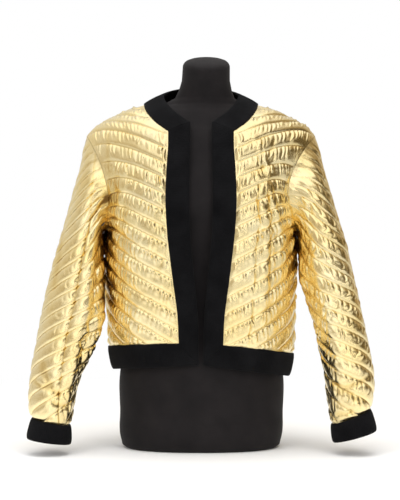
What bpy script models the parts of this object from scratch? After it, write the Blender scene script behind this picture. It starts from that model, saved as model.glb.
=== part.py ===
"""A short quilted leather jacket with rib-knit bands, worn open on a limbless dress form.

Metres, +Z up. The jacket's front faces -Y and the wearer's left side is +X. The origin is the middle
of the dress form's flat base, which stands on the floor. Every cloth piece is a wall: a plain inside
surface, and an outside that stands off it by the cloth's thickness and the puff of its quilting.
Tables are in millimetres, for the half of the garment at +X, and are mirrored for the other half.
"""

import math

import bpy
import numpy as np

MM = 0.001

# Cloth.
CLOTH = 2.4 * MM  # leather, thin wadding and backing where the quilting stitches hold them together
PUFF = 4.6 * MM  # how far a channel rises between two rows of stitching
SEAM_GAP = 0.3 * MM
BAND_GAP = 0.55 * MM  # measured along a band's width, which slants to its seam in places
FADE = 48 * MM  # the puff dies away over this distance from an armhole seam
NECK_FADE = 30 * MM
EDGE_PUFF = 0.25  # share of the puff that is left at a panel's edge

# Quilting: slanting channels, which fall towards the middle of each front and the outside of each sleeve.
BODY_PITCH = 32 * MM  # between rows of stitching, measured up the body
BODY_SLANT = 0.60  # rise for each unit of width
SLEEVE_PITCH = 30 * MM
SLEEVE_SLANT = 0.72
CHANNEL_ROWS = (0.0, 0.28, 0.72)  # where the wall has points across a channel
CHANNEL_RISE = (0.0, 1.0, 1.0)  # and how much of the puff each has
BODY_KEEP = (0.16, 0.16)  # shares of a channel that the rows keep from a panel's ends
SLEEVE_KEEP = (0.30, 0.36)
INSIDE_ROWS = 14
FRONT_COLUMNS, BACK_COLUMNS = 11, 12

# Knit bands: a doubled rib, padded by its own seam allowance.
BAND_THICK = 8.6 * MM
BAND_LIFT = 3.4 * MM  # the band's middle lies this far outside the panels' inside surface
HEM_DEPTH = 47 * MM
HEM_CURL = 9 * MM  # how far the hem band's lower edge turns in
HEM_SEAM_COLUMN = 3  # the front's column where the short corner piece meets the long hem band

# The armhole ring, from the shoulder tip (0 degrees) over the front (90) to the underarm (180).
SHOULDER_TIP = (234, 2, 643)
UNDERARM = (192, 2, 441)
ARMHOLE_DEPTH = 72 * MM
ARMHOLE_DIP = {"right": 22 * MM, "left": 36 * MM, "back": 26 * MM}
# The way that both walls stand up at the armhole seam: degrees, x, share of y, z
ARMHOLE_WAY = [
    (0, 0.95, 0.0, 0.31),
    (45, 0.60, 0.72, 0.34),
    (90, 0.35, 0.93, 0.04),
    (135, 0.25, 0.72, -0.62),
    (180, 0.20, 0.0, -0.98),
]
ARMHOLE_STEP = 20  # degrees between the seam's points

# The hem hangs lower on the wearer's left.
HEM_TILT = 0.04
TILT_FROM_Z = 438 * MM
TILT_FULL_Z = 218 * MM

UNDERARM_AT = 0.42  # the station of the underarm on the body's tables

# Body, up the front edge and then round the neckline: at, x, y, z
FRONT_EDGE = [
    (0.00, 44, -122, 221),
    (0.12, 47, -125, 280),
    (0.25, 56, -129, 348),
    (0.42, 67, -132, 441),
    (0.55, 71, -130, 508),
    (0.67, 69, -119, 573),
    (0.76, 66, -105, 620),
    (0.81, 66, -95, 646),
    (0.86, 84, -81, 659),
    (0.92, 103, -54, 678),
    (0.965, 114, -25, 695),
    (1.00, 117, 2, 705),
]
# The corner that pulls each section of the front round to the side: at, x, y, z
FRONT_PULL = [
    (0.00, 185, -125, 211),
    (0.12, 188, -130, 268),
    (0.25, 190, -136, 343),
    (0.42, 189, -140, 442),
    (0.55, 166, -141, 488),
    (0.67, 142, -130, 551),
    (0.76, 136, -113, 604),
    (0.81, 146, -98, 636),
    (0.86, 162, -77, 659),
    (0.92, 184, -46, 675),
    (0.965, 199, -17, 680),
    (1.00, 204, 2, 683),
]
# Up the centre back and then round the neckline: at, x, y, z
BACK_EDGE = [
    (0.00, 0, 117, 202),
    (0.12, 0, 116, 273),
    (0.25, 0, 115, 346),
    (0.42, 0, 118, 441),
    (0.55, 0, 123, 510),
    (0.67, 0, 123, 575),
    (0.78, 0, 113, 640),
    (0.86, 0, 97, 690),
    (0.90, 0, 87, 714),
]
BACK_NECK = [
    (0.90, 0, 87, 714),
    (0.92, 34, 84, 713),
    (0.945, 72, 70, 711),
    (0.975, 103, 38, 708),
    (1.00, 117, 2, 705),
]
BACK_PULL = [
    (0.00, 185, 119, 200),
    (0.12, 188, 118, 273),
    (0.25, 190, 119, 348),
    (0.42, 189, 124, 442),
    (0.55, 178, 133, 492),
    (0.67, 160, 134, 553),
    (0.78, 158, 118, 630),
    (0.86, 164, 100, 668),
    (0.90, 172, 86, 686),
    (0.92, 180, 74, 688),
    (0.945, 190, 54, 691),
    (0.975, 198, 24, 682),
    (1.00, 204, 2, 683),
]
NECK_AT = 0.90
FRONT_NECK_AT = 0.81
NECK_FROM = {"right": FRONT_NECK_AT, "left": FRONT_NECK_AT, "back": NECK_AT}
# Side seam: at, x, y, z
SIDE_SEAM = [
    (0.00, 187, 2, 200),
    (0.12, 190, 2, 270),
    (0.25, 192, 2, 344),
    (0.42, 192, 2, 441),
]

# Sleeves, a ring for each row. Outer and inner points of the ring as the front view shows them, its
# middle in y, its half depth, and how far its front and back dip towards the body.
SLEEVE_COLUMNS = ("at", "outer_x", "outer_z", "inner_x", "inner_z", "mid_y", "half_y", "dip")
RIGHT_SLEEVE = [
    (0.00, 234, 643, 192, 441, 2, 72, 1.0),
    (0.03, 238, 621, 202, 431, -1, 71, 0.58),
    (0.08, 243, 588, 205, 418, -6, 70, 0.20),
    (0.17, 258, 529, 207.4, 395, -15, 67, 0.0),
    (0.28, 277, 458, 207.2, 358, -27, 62, 0.0),
    (0.40, 296, 387, 207.0, 316, -39, 57, 0.0),
    (0.53, 315, 306, 210, 266, -53, 53, 0.0),
    (0.67, 329, 226, 230, 206, -67, 49, 0.0),
    (0.80, 340, 157, 250, 148, -80, 46, 0.0),
    (0.90, 343, 108, 261, 102, -90, 42, 0.0),
    (0.96, 340, 84, 266, 74, -95, 38, 0.0),
    (1.00, 334, 71, 269, 58, -98, 33, 0.0),
]
LEFT_SLEEVE = [
    (0.00, 234, 643, 192, 441, 2, 72, 1.0),
    (0.03, 239, 621, 202, 431, -1, 71, 0.58),
    (0.08, 246, 588, 205, 418, -6, 71, 0.20),
    (0.17, 262, 529, 208, 395, -15, 70, 0.0),
    (0.28, 282, 458, 209.0, 363, -27, 68, 0.0),
    (0.40, 300, 387, 215, 328, -40, 65, 0.0),
    (0.53, 317, 306, 231, 274, -54, 61, 0.0),
    (0.67, 333, 226, 246, 206, -68, 55, 0.0),
    (0.79, 343, 167, 255, 157, -80, 49, 0.0),
    (0.88, 344, 128, 260, 113, -89, 44, 0.0),
    (0.95, 340, 105, 264, 82, -95, 39, 0.0),
    (1.00, 335, 88, 268, 61, -98, 33, 0.0),
]
SLEEVES = {"right": RIGHT_SLEEVE, "left": LEFT_SLEEVE}
# The cuffs' lower rings: outer x and z, inner x and z, middle y, half depth
CUFF_END = {
    "right": (343, 31, 266, 20, -116, 33),
    "left": (346, 46, 270, 24, -114, 33),
}

# Neck band and front bands, along their free edges: at the same stations as the edge they are sewn to
FRONT_FREE = [
    (0.00, 5, -110, 178),
    (0.12, 7, -113, 268),
    (0.25, 14, -119, 348),
    (0.42, 22, -124, 441),
    (0.55, 24, -122, 508),
    (0.67, 23, -110, 573),
    (0.76, 22, -95, 624),
    (0.81, 22, -79, 665),
]
NECK_FREE_FRONT = [
    (0.81, 22, -79, 665),
    (0.86, 43, -68, 680),
    (0.92, 63, -43, 699),
    (0.965, 73, -19, 714),
    (1.00, 76, 2, 726),
]
NECK_FREE_BACK = [
    (0.90, 0, 62, 749),
    (0.92, 18, 60, 748),
    (0.945, 40, 52, 745),
    (0.975, 64, 30, 736),
    (1.00, 76, 2, 726),
]

# The largest folds, as soft ridges in the cloth: at the middle of the ridge and how far it reaches.
FOLD_COLUMNS = ("across", "width", "low", "high", "rise")
FRONT_FOLDS = {
    "right": [(0.66, 0.07, 0.30, 0.78, 2.5)],
    "left": [(0.34, 0.05, 0.05, 0.66, 4.5), (0.52, 0.05, 0.22, 0.72, 4.0)],
}
SLEEVE_FOLDS = {
    "right": [(62, 13, 0.05, 0.95, 6.0), (128, 16, 0.10, 0.60, 3.0), (250, 18, 0.15, 0.90, 4.0)],
    "left": [(115, 14, 0.04, 0.98, 5.0), (40, 18, 0.20, 0.75, 3.0), (245, 18, 0.15, 0.90, 4.0)],
}

# The dress form, a ring for each height. A pinch over 1 narrows the ring's two ends.
FORM_COLUMNS = ("z", "mid_x", "mid_y", "half", "front", "back", "pinch")
FORM_RINGS = [
    (0, 0, 0, 154, 96, 90, 0.88),
    (4, 0, 0, 161, 103, 97, 0.88),
    (14, 0, 0, 165, 107, 101, 0.88),
    (78, 1, 0, 169, 109, 104, 0.88),
    (143, 1, 0, 170, 110, 106, 0.88),
    (213, 0, 0, 157, 102, 95, 0.88),
    (293, 0, 0, 128, 92, 77, 0.88),
    (363, 0, 0, 131, 96, 79, 0.88),
    (438, 0, 0, 148, 107, 90, 0.88),
    (503, 0, 0, 160, 118, 98, 0.88),
    (558, 0, 0, 165, 108, 102, 0.88),
    (600, 0, 0, 170, 94, 100, 0.88),
    (632, 0, 0, 173, 84, 92, 0.92),
    (654, 0, 0, 173, 76, 82, 1.00),
    (671, 1, 0, 171, 67, 72, 1.25),
    (683, 1, 0, 164, 60, 62, 1.5),
    (692, 1, 0, 147, 55, 54, 1.8),
    (699.7, 2, 0, 121, 50, 49, 2.0),
    (708, 5, -1, 88, 46, 46, 1.7),
    (722, 8, -2, 62, 46, 46, 1.1),
    (738, 9, -3, 55, 48, 47, 0.92),
    (758, 10, -4, 50, 51, 48, 0.88),
]
FORM_SIDES = 40
CAP_TILT = 19  # degrees, the neck's top slopes down towards the front
CAP_MID = (11, -6, 792)
CAP_RADIUS = (49, 53)
CAP_EDGE = [(1.00, -6), (0.97, 0), (0.88, 5), (0.62, 9), (0.30, 11)]  # share of the radius, rise

GOLD = {"color": (0.80, 0.58, 0.22, 1), "metallic": 0.9, "roughness": 0.32}
KNIT = {"color": (0.012, 0.012, 0.014, 1), "metallic": 0.0, "roughness": 0.95}
JERSEY = {"color": (0.022, 0.020, 0.020, 1), "metallic": 0.0, "roughness": 0.9}


def smooth(table, at, column):
    """A column of a table at any stations, on a smooth curve through its rows."""
    knots = np.array([row[0] for row in table], float)
    values = np.array([row[column] for row in table], float)
    slopes = np.gradient(values, knots)
    at = np.clip(np.asarray(at, float), knots[0], knots[-1])
    i = np.clip(np.searchsorted(knots, at, side="right") - 1, 0, len(knots) - 2)
    step = knots[i + 1] - knots[i]
    t = (at - knots[i]) / step
    return (
        (2 * t**3 - 3 * t**2 + 1) * values[i]
        + (t**3 - 2 * t**2 + t) * step * slopes[i]
        + (3 * t**2 - 2 * t**3) * values[i + 1]
        + (t**3 - t**2) * step * slopes[i + 1]
    )


def track(table, at):
    """Points in metres along a table of at, x, y, z."""
    return np.stack([smooth(table, at, c) for c in (1, 2, 3)], axis=-1) * MM


def unit(vectors):
    return vectors / np.maximum(np.linalg.norm(vectors, axis=-1, keepdims=True), 1e-12)


def bump(t):
    """0 to 1, smoothly."""
    t = np.clip(t, 0, 1)
    return t * t * (3 - 2 * t)


def dip_share(turn):
    """How much of its dip towards the body the armhole has at an angle in radians."""
    return np.sin(turn) ** 2 * (1 - 0.75 * bump((np.degrees(turn) - 100) / 70))


def armhole(degrees, side):
    """Points of the armhole seam. Side is right or left for the two fronts, or back."""
    turn = np.radians(np.asarray(degrees, float))
    tip, under = np.array(SHOULDER_TIP) * MM, np.array(UNDERARM) * MM
    share = (1 + np.cos(turn)) / 2
    away = 1 if side == "back" else -1
    x = under[0] + (tip[0] - under[0]) * share - ARMHOLE_DIP[side] * dip_share(turn)
    y = under[1] + (tip[1] - under[1]) * share + away * ARMHOLE_DEPTH * np.sin(turn)
    z = under[2] + (tip[2] - under[2]) * share
    return np.stack([x, y, z], axis=-1)


def armhole_out(degrees, side):
    """The way that both walls stand up at the armhole seam."""
    away = 1 if side == "back" else -1
    x, y, z = (smooth(ARMHOLE_WAY, degrees, c) for c in (1, 2, 3))
    return unit(np.stack([x, away * y, z], axis=-1))


def armhole_apart(degrees, side):
    """Half the seam gap, square to the armhole seam and towards the sleeve."""
    degrees = np.asarray(degrees, float)
    run = armhole(degrees + 1, side) - armhole(degrees - 1, side)
    way = unit(np.cross(run, armhole_out(degrees, side)))
    return way * np.sign(way[..., :1]) * SEAM_GAP / 2


def armhole_degrees(at):
    """The armhole's angle at the body's stations above the underarm."""
    return 180 * (1 - np.clip((np.asarray(at, float) - UNDERARM_AT) / (1 - UNDERARM_AT), 0, 1))


def outer_edge(at, side):
    """Side seam, then armhole."""
    at = np.asarray(at, float)
    low = track(SIDE_SEAM, at)
    high = armhole(armhole_degrees(at), side)
    return np.where((at <= UNDERARM_AT)[..., None], low, high)


def outer_way(at, side):
    """The way the wall stands up along the outer edge."""
    at = np.asarray(at, float)
    low = np.broadcast_to(np.array([1.0, 0, 0]), at.shape + (3,))
    high = armhole_out(armhole_degrees(at), side)
    turn = bump((at - UNDERARM_AT + 0.02) / 0.02)[..., None]
    return unit(low * (1 - turn) + high * turn)


def inner_edge(at, side):
    """Front edge and neckline, or centre back and neckline."""
    at = np.asarray(at, float)
    if side != "back":
        return track(FRONT_EDGE, at)
    return np.where((at <= NECK_AT)[..., None], track(BACK_EDGE, at), track(BACK_NECK, at))


def section(across, at, side):
    """A point of the body's inside surface: a conic from the inner edge round to the outer edge."""
    start, end = inner_edge(at, side), outer_edge(at, side)
    corner = track(BACK_PULL if side == "back" else FRONT_PULL, at)
    weight = 0.80
    a, b, c = ((1 - across) ** 2, 2 * weight * across * (1 - across), across**2)
    total = (a + b + c)[..., None]
    return (a[..., None] * start + b[..., None] * corner + c[..., None] * end) / total


def fold_rise(folds, across, at, wrap=None):
    """How far the folds lift the cloth at a place."""
    rise = np.zeros(np.broadcast(across, at).shape)
    for row in folds:
        fold = dict(zip(FOLD_COLUMNS, row))
        off = across - fold["across"]
        if wrap:
            off = (off + wrap / 2) % wrap - wrap / 2
        reach = (fold["high"] - fold["low"]) / 4
        ends = bump((at - fold["low"]) / reach) * bump((fold["high"] - at) / reach)
        rise = rise + fold["rise"] * MM * np.exp(-((off / fold["width"]) ** 2)) * ends
    return rise


def body_point(side, folds):
    def point(across, at):
        p = section(across, at, side)
        away = 1 if side == "back" else -1
        p[..., 1] += away * fold_rise(folds, across, at)
        return p

    return point


def sleeve_point(table, hand):
    columns = {name: i for i, name in enumerate(SLEEVE_COLUMNS)}

    def value(name, at):
        return smooth(table, at, columns[name])

    def point(degrees, at, folds=()):
        turn = np.radians(degrees)
        outer = np.stack([value("outer_x", at), 0 * at, value("outer_z", at)], axis=-1)
        inner = np.stack([value("inner_x", at), 0 * at, value("inner_z", at)], axis=-1)
        middle, half = (outer + inner) / 2, (outer - inner) / 2
        front = np.sin(turn) > 0
        dip = np.where(front, ARMHOLE_DIP[hand], ARMHOLE_DIP["back"]) * value("dip", at)
        p = (middle + half * np.cos(turn)[..., None]) * MM
        p[..., 1] = value("mid_y", at) * MM - value("half_y", at) * MM * np.sin(turn)
        p[..., 0] -= dip * dip_share(np.where(turn > math.pi, 2 * math.pi - turn, turn))
        way = unit(
            half * np.cos(turn)[..., None]
            + np.stack([0 * at, -value("half_y", at) * np.sin(turn), 0 * at], axis=-1)
        )
        return p + way * fold_rise(folds, degrees, at, wrap=360)[..., None]

    return point


def tilt_hem(points):
    """Lets the hem down on the wearer's left, on points that are already on their own side."""
    share = bump((TILT_FROM_Z - points[..., 2]) / (TILT_FROM_Z - TILT_FULL_Z))
    out = points.copy()
    out[..., 2] -= HEM_TILT * points[..., 0] * share
    return out


def laid_out(point, columns, closed, substeps=6, rows=260):
    """Points, outward directions, and the cloth's own width and length coordinates at each column.
    On an open panel the length counts only the way up and back, as its pattern does."""
    if closed:
        across = np.linspace(0, 360, columns * substeps + 1)
    else:
        across = np.linspace(0, 1, (columns - 1) * substeps + 1)
    at = np.linspace(0, 1, rows + 1)
    grid_across, grid_at = np.meshgrid(across, at, indexing="ij")
    p = point(grid_across, grid_at)
    along, up = np.gradient(p, axis=0), np.gradient(p, axis=1)
    if closed:
        along[0] = along[-1] = (p[1] - p[-2]) / 2
    way = unit(np.cross(along, up))
    width = np.zeros(p.shape[:2])
    width[1:] = np.cumsum(np.linalg.norm(np.diff(p, axis=0), axis=-1), axis=0)
    length = np.zeros(p.shape[:2])
    steps = np.diff(p, axis=1)
    steps = steps if closed else steps[..., 1:]
    length[:, 1:] = np.cumsum(np.linalg.norm(steps, axis=-1), axis=1)
    keep = slice(None, None, substeps)
    return at, p[keep], way[keep], width[keep], length[keep]


class Wall:
    """Collects a cloth wall's points and faces."""

    def __init__(self):
        self.points = []
        self.faces = []

    def add(self, point):
        self.points.append(tuple(float(x) for x in point))
        return len(self.points) - 1

    def strip(self, left, right, turned=False):
        """Triangles between two chains of (key, index), each in rising order of key."""
        i = j = 0
        while i < len(left) - 1 or j < len(right) - 1:
            take_left = j == len(right) - 1 or (
                i < len(left) - 1 and left[i + 1][0] <= right[j + 1][0]
            )
            if take_left:
                face = (left[i][1], right[j][1], left[i + 1][1])
                i += 1
            else:
                face = (left[i][1], right[j][1], right[j + 1][1])
                j += 1
            if len(set(face)) == 3:
                self.faces.append(face[::-1] if turned else face)


def chain_rows(phase, at, keep):
    """The stations where a column crosses the channel rows, with each one's phase and rise. keep is
    the share of a channel that the rows stay away from the two ends."""
    low, high = phase[0], phase[-1]
    found = [(float(at[0]), float(low), EDGE_PUFF)]
    for channel in range(math.floor(low), math.ceil(high) + 1):
        for share, rise in zip(CHANNEL_ROWS, CHANNEL_RISE):
            key = channel + share
            if low + keep[0] < key < high - keep[1]:
                found.append((float(np.interp(key, phase, at)), key, rise))
    found.append((float(at[-1]), float(high), EDGE_PUFF))
    return found


def quilted_wall(layout, phase, edges, closed, quiet, open_until=None):
    """A wall of quilted cloth. phase counts the channels up each column. edges has the stations of a
    column that lies on a seam, the way the wall stands up on a seam, the shift off it, and the column
    of a lengthwise seam, past which the channels start afresh. quiet is the share of the puff at a
    point. open_until leaves the first column open up to that station, for a half that is mirrored
    onto itself."""
    at, points, ways = layout
    wall = Wall()
    count = len(points) - 1 if closed else len(points)
    outside, inside = [], []
    for column in range(count):

        def here(station, field):
            return np.array([np.interp(station, at, field[column][:, k]) for k in range(3)])

        seam = None if closed else edges["stations"].get(column)
        if seam is None:
            chain = chain_rows(phase[column], at, edges["keep"])
            inner_at = np.linspace(0, 1, INSIDE_ROWS + 1)
        else:
            keys = np.interp(seam, at, phase[column])
            chain = [(float(a), float(k), EDGE_PUFF) for a, k in zip(seam, keys)]
            inner_at = seam
        outer, inner = [], []
        for station, key, rise in chain:
            base = here(station, points) + edges["shift"](column, station)
            way = edges["way"](column, station, unit(here(station, ways)))
            stand = CLOTH + PUFF * rise * quiet(base)
            outer.append((key, station, wall.add(base + way * stand)))
        for station in inner_at:
            base = here(station, points) + edges["shift"](column, station)
            inner.append((float(station), wall.add(base)))
        outside.append(outer)
        inside.append(inner)
    pairs = [(i, (i + 1) % count) for i in range(count if closed else count - 1)]
    for a, b in pairs:
        by = 1 if {a, b} & set(edges["stations"]) or a == edges.get("seam") else 0
        wall.strip([(p[by], p[2]) for p in outside[a]], [(p[by], p[2]) for p in outside[b]])
        wall.strip(inside[a], inside[b], turned=True)
        for end, flip in ((0, False), (-1, True)):
            quad = (outside[a][end][2], inside[a][end][1], inside[b][end][1], outside[b][end][2])
            if edges["falls"](a):
                halves = [(quad[0], quad[1], quad[2]), (quad[0], quad[2], quad[3])]
            else:
                halves = [(quad[0], quad[1], quad[3]), (quad[1], quad[2], quad[3])]
            wall.faces += [half[::-1] if flip else half for half in halves]
    if not closed:
        for column, turned in ((0, True), (count - 1, False)):
            outer = [(s, n) for _, s, n in outside[column]]
            inner = list(inside[column])
            if column == 0 and open_until:
                outer = [c for c in outer if c[0] >= open_until - 1e-9]
                inner = [c for c in inner if c[0] >= open_until - 1e-9]
            wall.strip(outer, inner, turned=turned)
    return wall


def volume(p, faces):
    """Signed: it is negative where the faces point inwards."""
    fans = [(f[0], f[k], f[k + 1]) for f in faces for k in range(1, len(f) - 1)]
    a, b, c = p[np.array(fans)].transpose(1, 0, 2)
    return float((a * np.cross(b, c)).sum()) / 6


def new_object(name, points, faces, finish, mirrored=False, tilted=True):
    """An object from points of the +X half. mirrored puts it on the other side."""
    p = np.array(points, float)
    if mirrored:
        p = p * np.array([-1, 1, 1])
    if tilted:
        p = tilt_hem(p)
    if volume(p, faces) < 0:
        faces = [face[::-1] for face in faces]
    mesh = bpy.data.meshes.new(name)
    mesh.from_pydata([tuple(q) for q in p], [], [tuple(face) for face in faces])
    mesh.validate()
    mesh.update()
    mesh.shade_smooth()
    mesh.set_sharp_from_angle(angle=math.radians(40))
    obj = bpy.data.objects.new(name, mesh)
    COLLECTION.objects.link(obj)
    obj.data.materials.append(material(finish))
    return obj


def material(finish):
    name = next(n for n, f in FINISHES.items() if f is finish)
    found = bpy.data.materials.get(name)
    if found:
        return found
    made = bpy.data.materials.new(name)
    made.use_nodes = True
    shader = made.node_tree.nodes["Principled BSDF"]
    shader.inputs["Base Color"].default_value = finish["color"]
    shader.inputs["Metallic"].default_value = finish["metallic"]
    shader.inputs["Roughness"].default_value = finish["roughness"]
    return made


FINISHES = {"gold_leather": GOLD, "rib_knit": KNIT, "jersey": JERSEY}


def seam_points():
    turn = np.linspace(0, 180, 41)
    return np.concatenate([armhole(turn, side) for side in ARMHOLE_DIP])


def neck_points():
    front = track(FRONT_EDGE, np.linspace(FRONT_NECK_AT, 1, 40))
    return np.concatenate([front, track(BACK_NECK, np.linspace(NECK_AT, 1, 60))])


SEAM = seam_points()
NECKLINE = neck_points()


def quiet_by_seam(base):
    """The share of the puff that is left near the armhole seam and the neckline."""
    from_armhole = float(np.linalg.norm(SEAM - base, axis=1).min()) / FADE
    from_neck = float(np.linalg.norm(NECKLINE - base, axis=1).min()) / NECK_FADE
    return 0.12 + 0.88 * float(bump(min(from_armhole, from_neck)))


FRONT_BAND_AT = np.linspace(0, FRONT_NECK_AT, 16)
NECK_FRONT_AT = np.linspace(FRONT_NECK_AT, 1, 9)
NECK_BACK_AT = np.linspace(NECK_AT, 1, 9)
SIDE_AT = np.linspace(0, UNDERARM_AT, 7)
ARMHOLE_AT = np.linspace(UNDERARM_AT, 1, 180 // ARMHOLE_STEP + 1)
OUTER_AT = np.concatenate([SIDE_AT, ARMHOLE_AT[1:]])
CENTRE_BACK_AT = np.linspace(0, NECK_AT, 40)


def body_edges(side, columns):
    """What quilted_wall needs about a body panel's seams."""
    away = 1 if side == "back" else -1
    if side == "back":
        first = np.concatenate([CENTRE_BACK_AT, NECK_BACK_AT[1:]])
    else:
        first = np.concatenate([FRONT_BAND_AT, NECK_FRONT_AT[1:]])

    def way(column, station, own):
        if column == columns - 1:
            own = outer_way(station, side)
        elif column == 0:
            own = seam_way(side, np.array([station]))[0]
        elif station == 0:
            own = unit(own * np.array([1, 1, 0]))
        return unit(own * np.array([1, 0, 1])) if station == 1 else own

    def shift(column, station):
        off = np.zeros(3)
        if station == 1 or (column == columns - 1 and station <= UNDERARM_AT):
            off[1] += away * SEAM_GAP / 2
        if column == columns - 1 and station >= UNDERARM_AT:
            off -= armhole_apart(armhole_degrees(station), side)
        return off

    stations = {0: first, columns - 1: OUTER_AT}
    return {
        "stations": stations,
        "way": way,
        "shift": shift,
        "keep": BODY_KEEP,
        "falls": lambda column: False,
    }


def body_layout(side, folds, columns):
    """Layout and channel phase for a front, or for half of the back."""
    at, points, ways, width, length = laid_out(body_point(side, folds), columns, closed=False)
    width = width + points[:1, :, 0]
    if side == "back":
        ways = -ways
    phase = (length - BODY_SLANT * width) / BODY_PITCH
    return (at, points, ways), phase


def make_front(name, hand, mirrored):
    layout, phase = body_layout(hand, FRONT_FOLDS[hand], FRONT_COLUMNS)
    edges = body_edges(hand, FRONT_COLUMNS)
    wall = quilted_wall(layout, phase, edges, False, quiet_by_seam)
    new_object(name, wall.points, wall.faces, GOLD, mirrored)


def make_back(name):
    layout, phase = body_layout("back", [], BACK_COLUMNS)
    edges = body_edges("back", BACK_COLUMNS)
    wall = quilted_wall(layout, phase, edges, False, quiet_by_seam, open_until=NECK_AT)
    half = np.array(wall.points)
    middle = np.abs(half[:, 0]) < 1e-7
    mirror_of = np.where(middle, np.arange(len(half)), 0)
    extra = np.flatnonzero(~middle)
    mirror_of[extra] = len(half) + np.arange(len(extra))
    points = np.concatenate([half, half[extra] * np.array([-1, 1, 1])])
    faces = [face[::-1] for face in wall.faces]
    faces += [tuple(int(mirror_of[i]) for i in face) for face in wall.faces]
    new_object(name, points, faces, GOLD)


def make_sleeve(name, hand, mirrored):
    ring = sleeve_point(SLEEVES[hand], hand)

    def point(degrees, at):
        return ring(degrees, 1 - at, SLEEVE_FOLDS[hand])

    columns = 360 // ARMHOLE_STEP
    at, points, ways, around, length = laid_out(point, columns, closed=True)
    past_underarm = np.arange(columns + 1)[:, None] > columns // 2
    from_outside = np.where(past_underarm, around - around[-1:], around)
    phase = (length - SLEEVE_SLANT * from_outside) / SLEEVE_PITCH
    outward = points - points[:-1].mean(axis=0, keepdims=True)
    ways = np.where((ways * outward).sum(-1, keepdims=True) < 0, -ways, ways)

    def seam(column):
        degrees = column * ARMHOLE_STEP
        return (hand, degrees) if degrees <= 180 else ("back", 360 - degrees)

    def way(column, station, own):
        if station == 0:
            return unit(points[column][0] - points[:-1, 0].mean(axis=0))
        side, degrees = seam(column)
        return armhole_out(degrees, side) if station == 1 else own

    def shift(column, station):
        side, degrees = seam(column)
        return armhole_apart(degrees, side) if station == 1 else np.zeros(3)

    edges = {
        "stations": {},
        "way": way,
        "shift": shift,
        "keep": SLEEVE_KEEP,
        "falls": lambda column: column < columns // 2,
        "seam": columns // 2,
    }
    wall = quilted_wall((at, points, ways), phase, edges, True, quiet_by_seam)
    new_object(name, wall.points, wall.faces, GOLD, mirrored, tilted=False)


# The outline of a doubled band: share of the width, share of the thickness
BAND_OUTLINE = [
    (0.00, -0.34),
    (0.00, 0.34),
    (0.10, 0.50),
    (0.50, 0.56),
    (0.86, 0.47),
    (0.97, 0.28),
    (1.00, 0.00),
    (0.97, -0.28),
    (0.86, -0.47),
    (0.50, -0.50),
    (0.10, -0.50),
]


def band(name, sewn, free, ways, closed=False, mirrored=False, tilted=True):
    """A band between the edge it is sewn to and its free edge. At the seam it stands up as the
    panel's own edge does."""
    points, faces = [], []
    for a, b, seam_way in zip(sewn, free, ways):
        across = b - a
        own = unit(seam_way - unit(across) * float(np.dot(seam_way, unit(across))))
        for share, rise in BAND_OUTLINE:
            way = seam_way if share == 0 else own
            points.append(a + across * share + way * (BAND_LIFT + BAND_THICK * rise))
    size, count = len(BAND_OUTLINE), len(sewn)
    for i in range(count if closed else count - 1):
        for k in range(size):
            m, here, there = (k + 1) % size, i * size, (i + 1) % count * size
            faces.append((here + k, here + m, there + m, there + k))
    if not closed:
        faces.append(tuple(range(size))[::-1])
        faces.append(tuple((count - 1) * size + k for k in range(size)))
    new_object(name, points, faces, KNIT, mirrored, tilted)


def edge_way(side, at, across):
    """The body surface's outward direction at a place."""
    step = 0.004
    near = section(across, np.clip(at - step, 0, 1), side)
    far = section(across, np.clip(at + step, 0, 1), side)
    left = section(np.clip(across - step, 0, 1), at, side)
    right = section(np.clip(across + step, 0, 1), at, side)
    way = unit(np.cross(right - left, far - near))
    return -way if side == "back" else way


def seam_way(side, at):
    """The way that panel and band both stand up along the front edge, the neckline or centre back."""
    at = np.asarray(at, float)
    corner = NECK_FROM[side]
    own = edge_way(side, np.minimum(at, corner), np.zeros_like(at))
    if side == "back":
        own = unit(own * np.array([0, 1, 1]))
    top = edge_way("left", np.array([1.0]), np.array([0.0]))[0] * np.array([1, 0, 1])
    share = np.clip((at - corner) / (1 - corner), 0, 1)[..., None]
    return unit(own * (1 - share) + unit(top) * share)


def set_off(sewn, free):
    """Moves the sewn edge off the panel by the seam gap."""
    return sewn + unit(free - sewn) * BAND_GAP


def end_apart(line, end, gap):
    """Moves one end of a line along itself, inwards."""
    run = unit(line[1] - line[0]) if end == 0 else unit(line[-2] - line[-1])
    line[end] = line[end] + run * gap


def make_front_band(name, hand, mirrored):
    at = FRONT_BAND_AT
    sewn, free = inner_edge(at, hand), track(FRONT_FREE, at)
    ways = seam_way(hand, at)
    sewn = set_off(sewn, free)
    for line in (sewn, free):
        end_apart(line, 0, SEAM_GAP / 2)
        end_apart(line, -1, SEAM_GAP / 2)
    band(name, sewn, free, ways, mirrored=mirrored)


def both_halves(*lines):
    """Lines from one front corner to the centre back, carried on to the other corner."""
    flip = np.array([-1, 1, 1])
    return [np.concatenate([line, line[-2::-1] * flip]) for line in lines]


def make_neck_band(name):
    front, back = NECK_FRONT_AT, NECK_BACK_AT[-2::-1]
    sewn = np.concatenate([inner_edge(front, "left"), track(BACK_NECK, back)])
    free = np.concatenate([track(NECK_FREE_FRONT, front), track(NECK_FREE_BACK, back)])
    ways = np.concatenate([seam_way("left", front), seam_way("back", back)])
    sewn = set_off(sewn, free)
    for line in (sewn, free):
        end_apart(line, 0, SEAM_GAP / 2)
    band(name, *both_halves(sewn, free, ways))


def hem_line(side, shares):
    """Sewn edge, free edge and outward directions of the hem band under a panel's columns."""
    shares = np.asarray(shares, float)
    zero = np.zeros_like(shares)
    sewn = section(shares, zero, side)
    left = section(np.clip(shares - 0.01, 0, 1), zero, side)
    right = section(np.clip(shares + 0.01, 0, 1), zero, side)
    ways = unit(np.cross(right - left, np.array([0, 0, 1.0])))
    if side == "back":
        ways = -ways
    free = sewn + np.array([0, 0, -HEM_DEPTH]) - ways * HEM_CURL
    return [sewn + np.array([0, 0, -SEAM_GAP]), free, ways]


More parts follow.
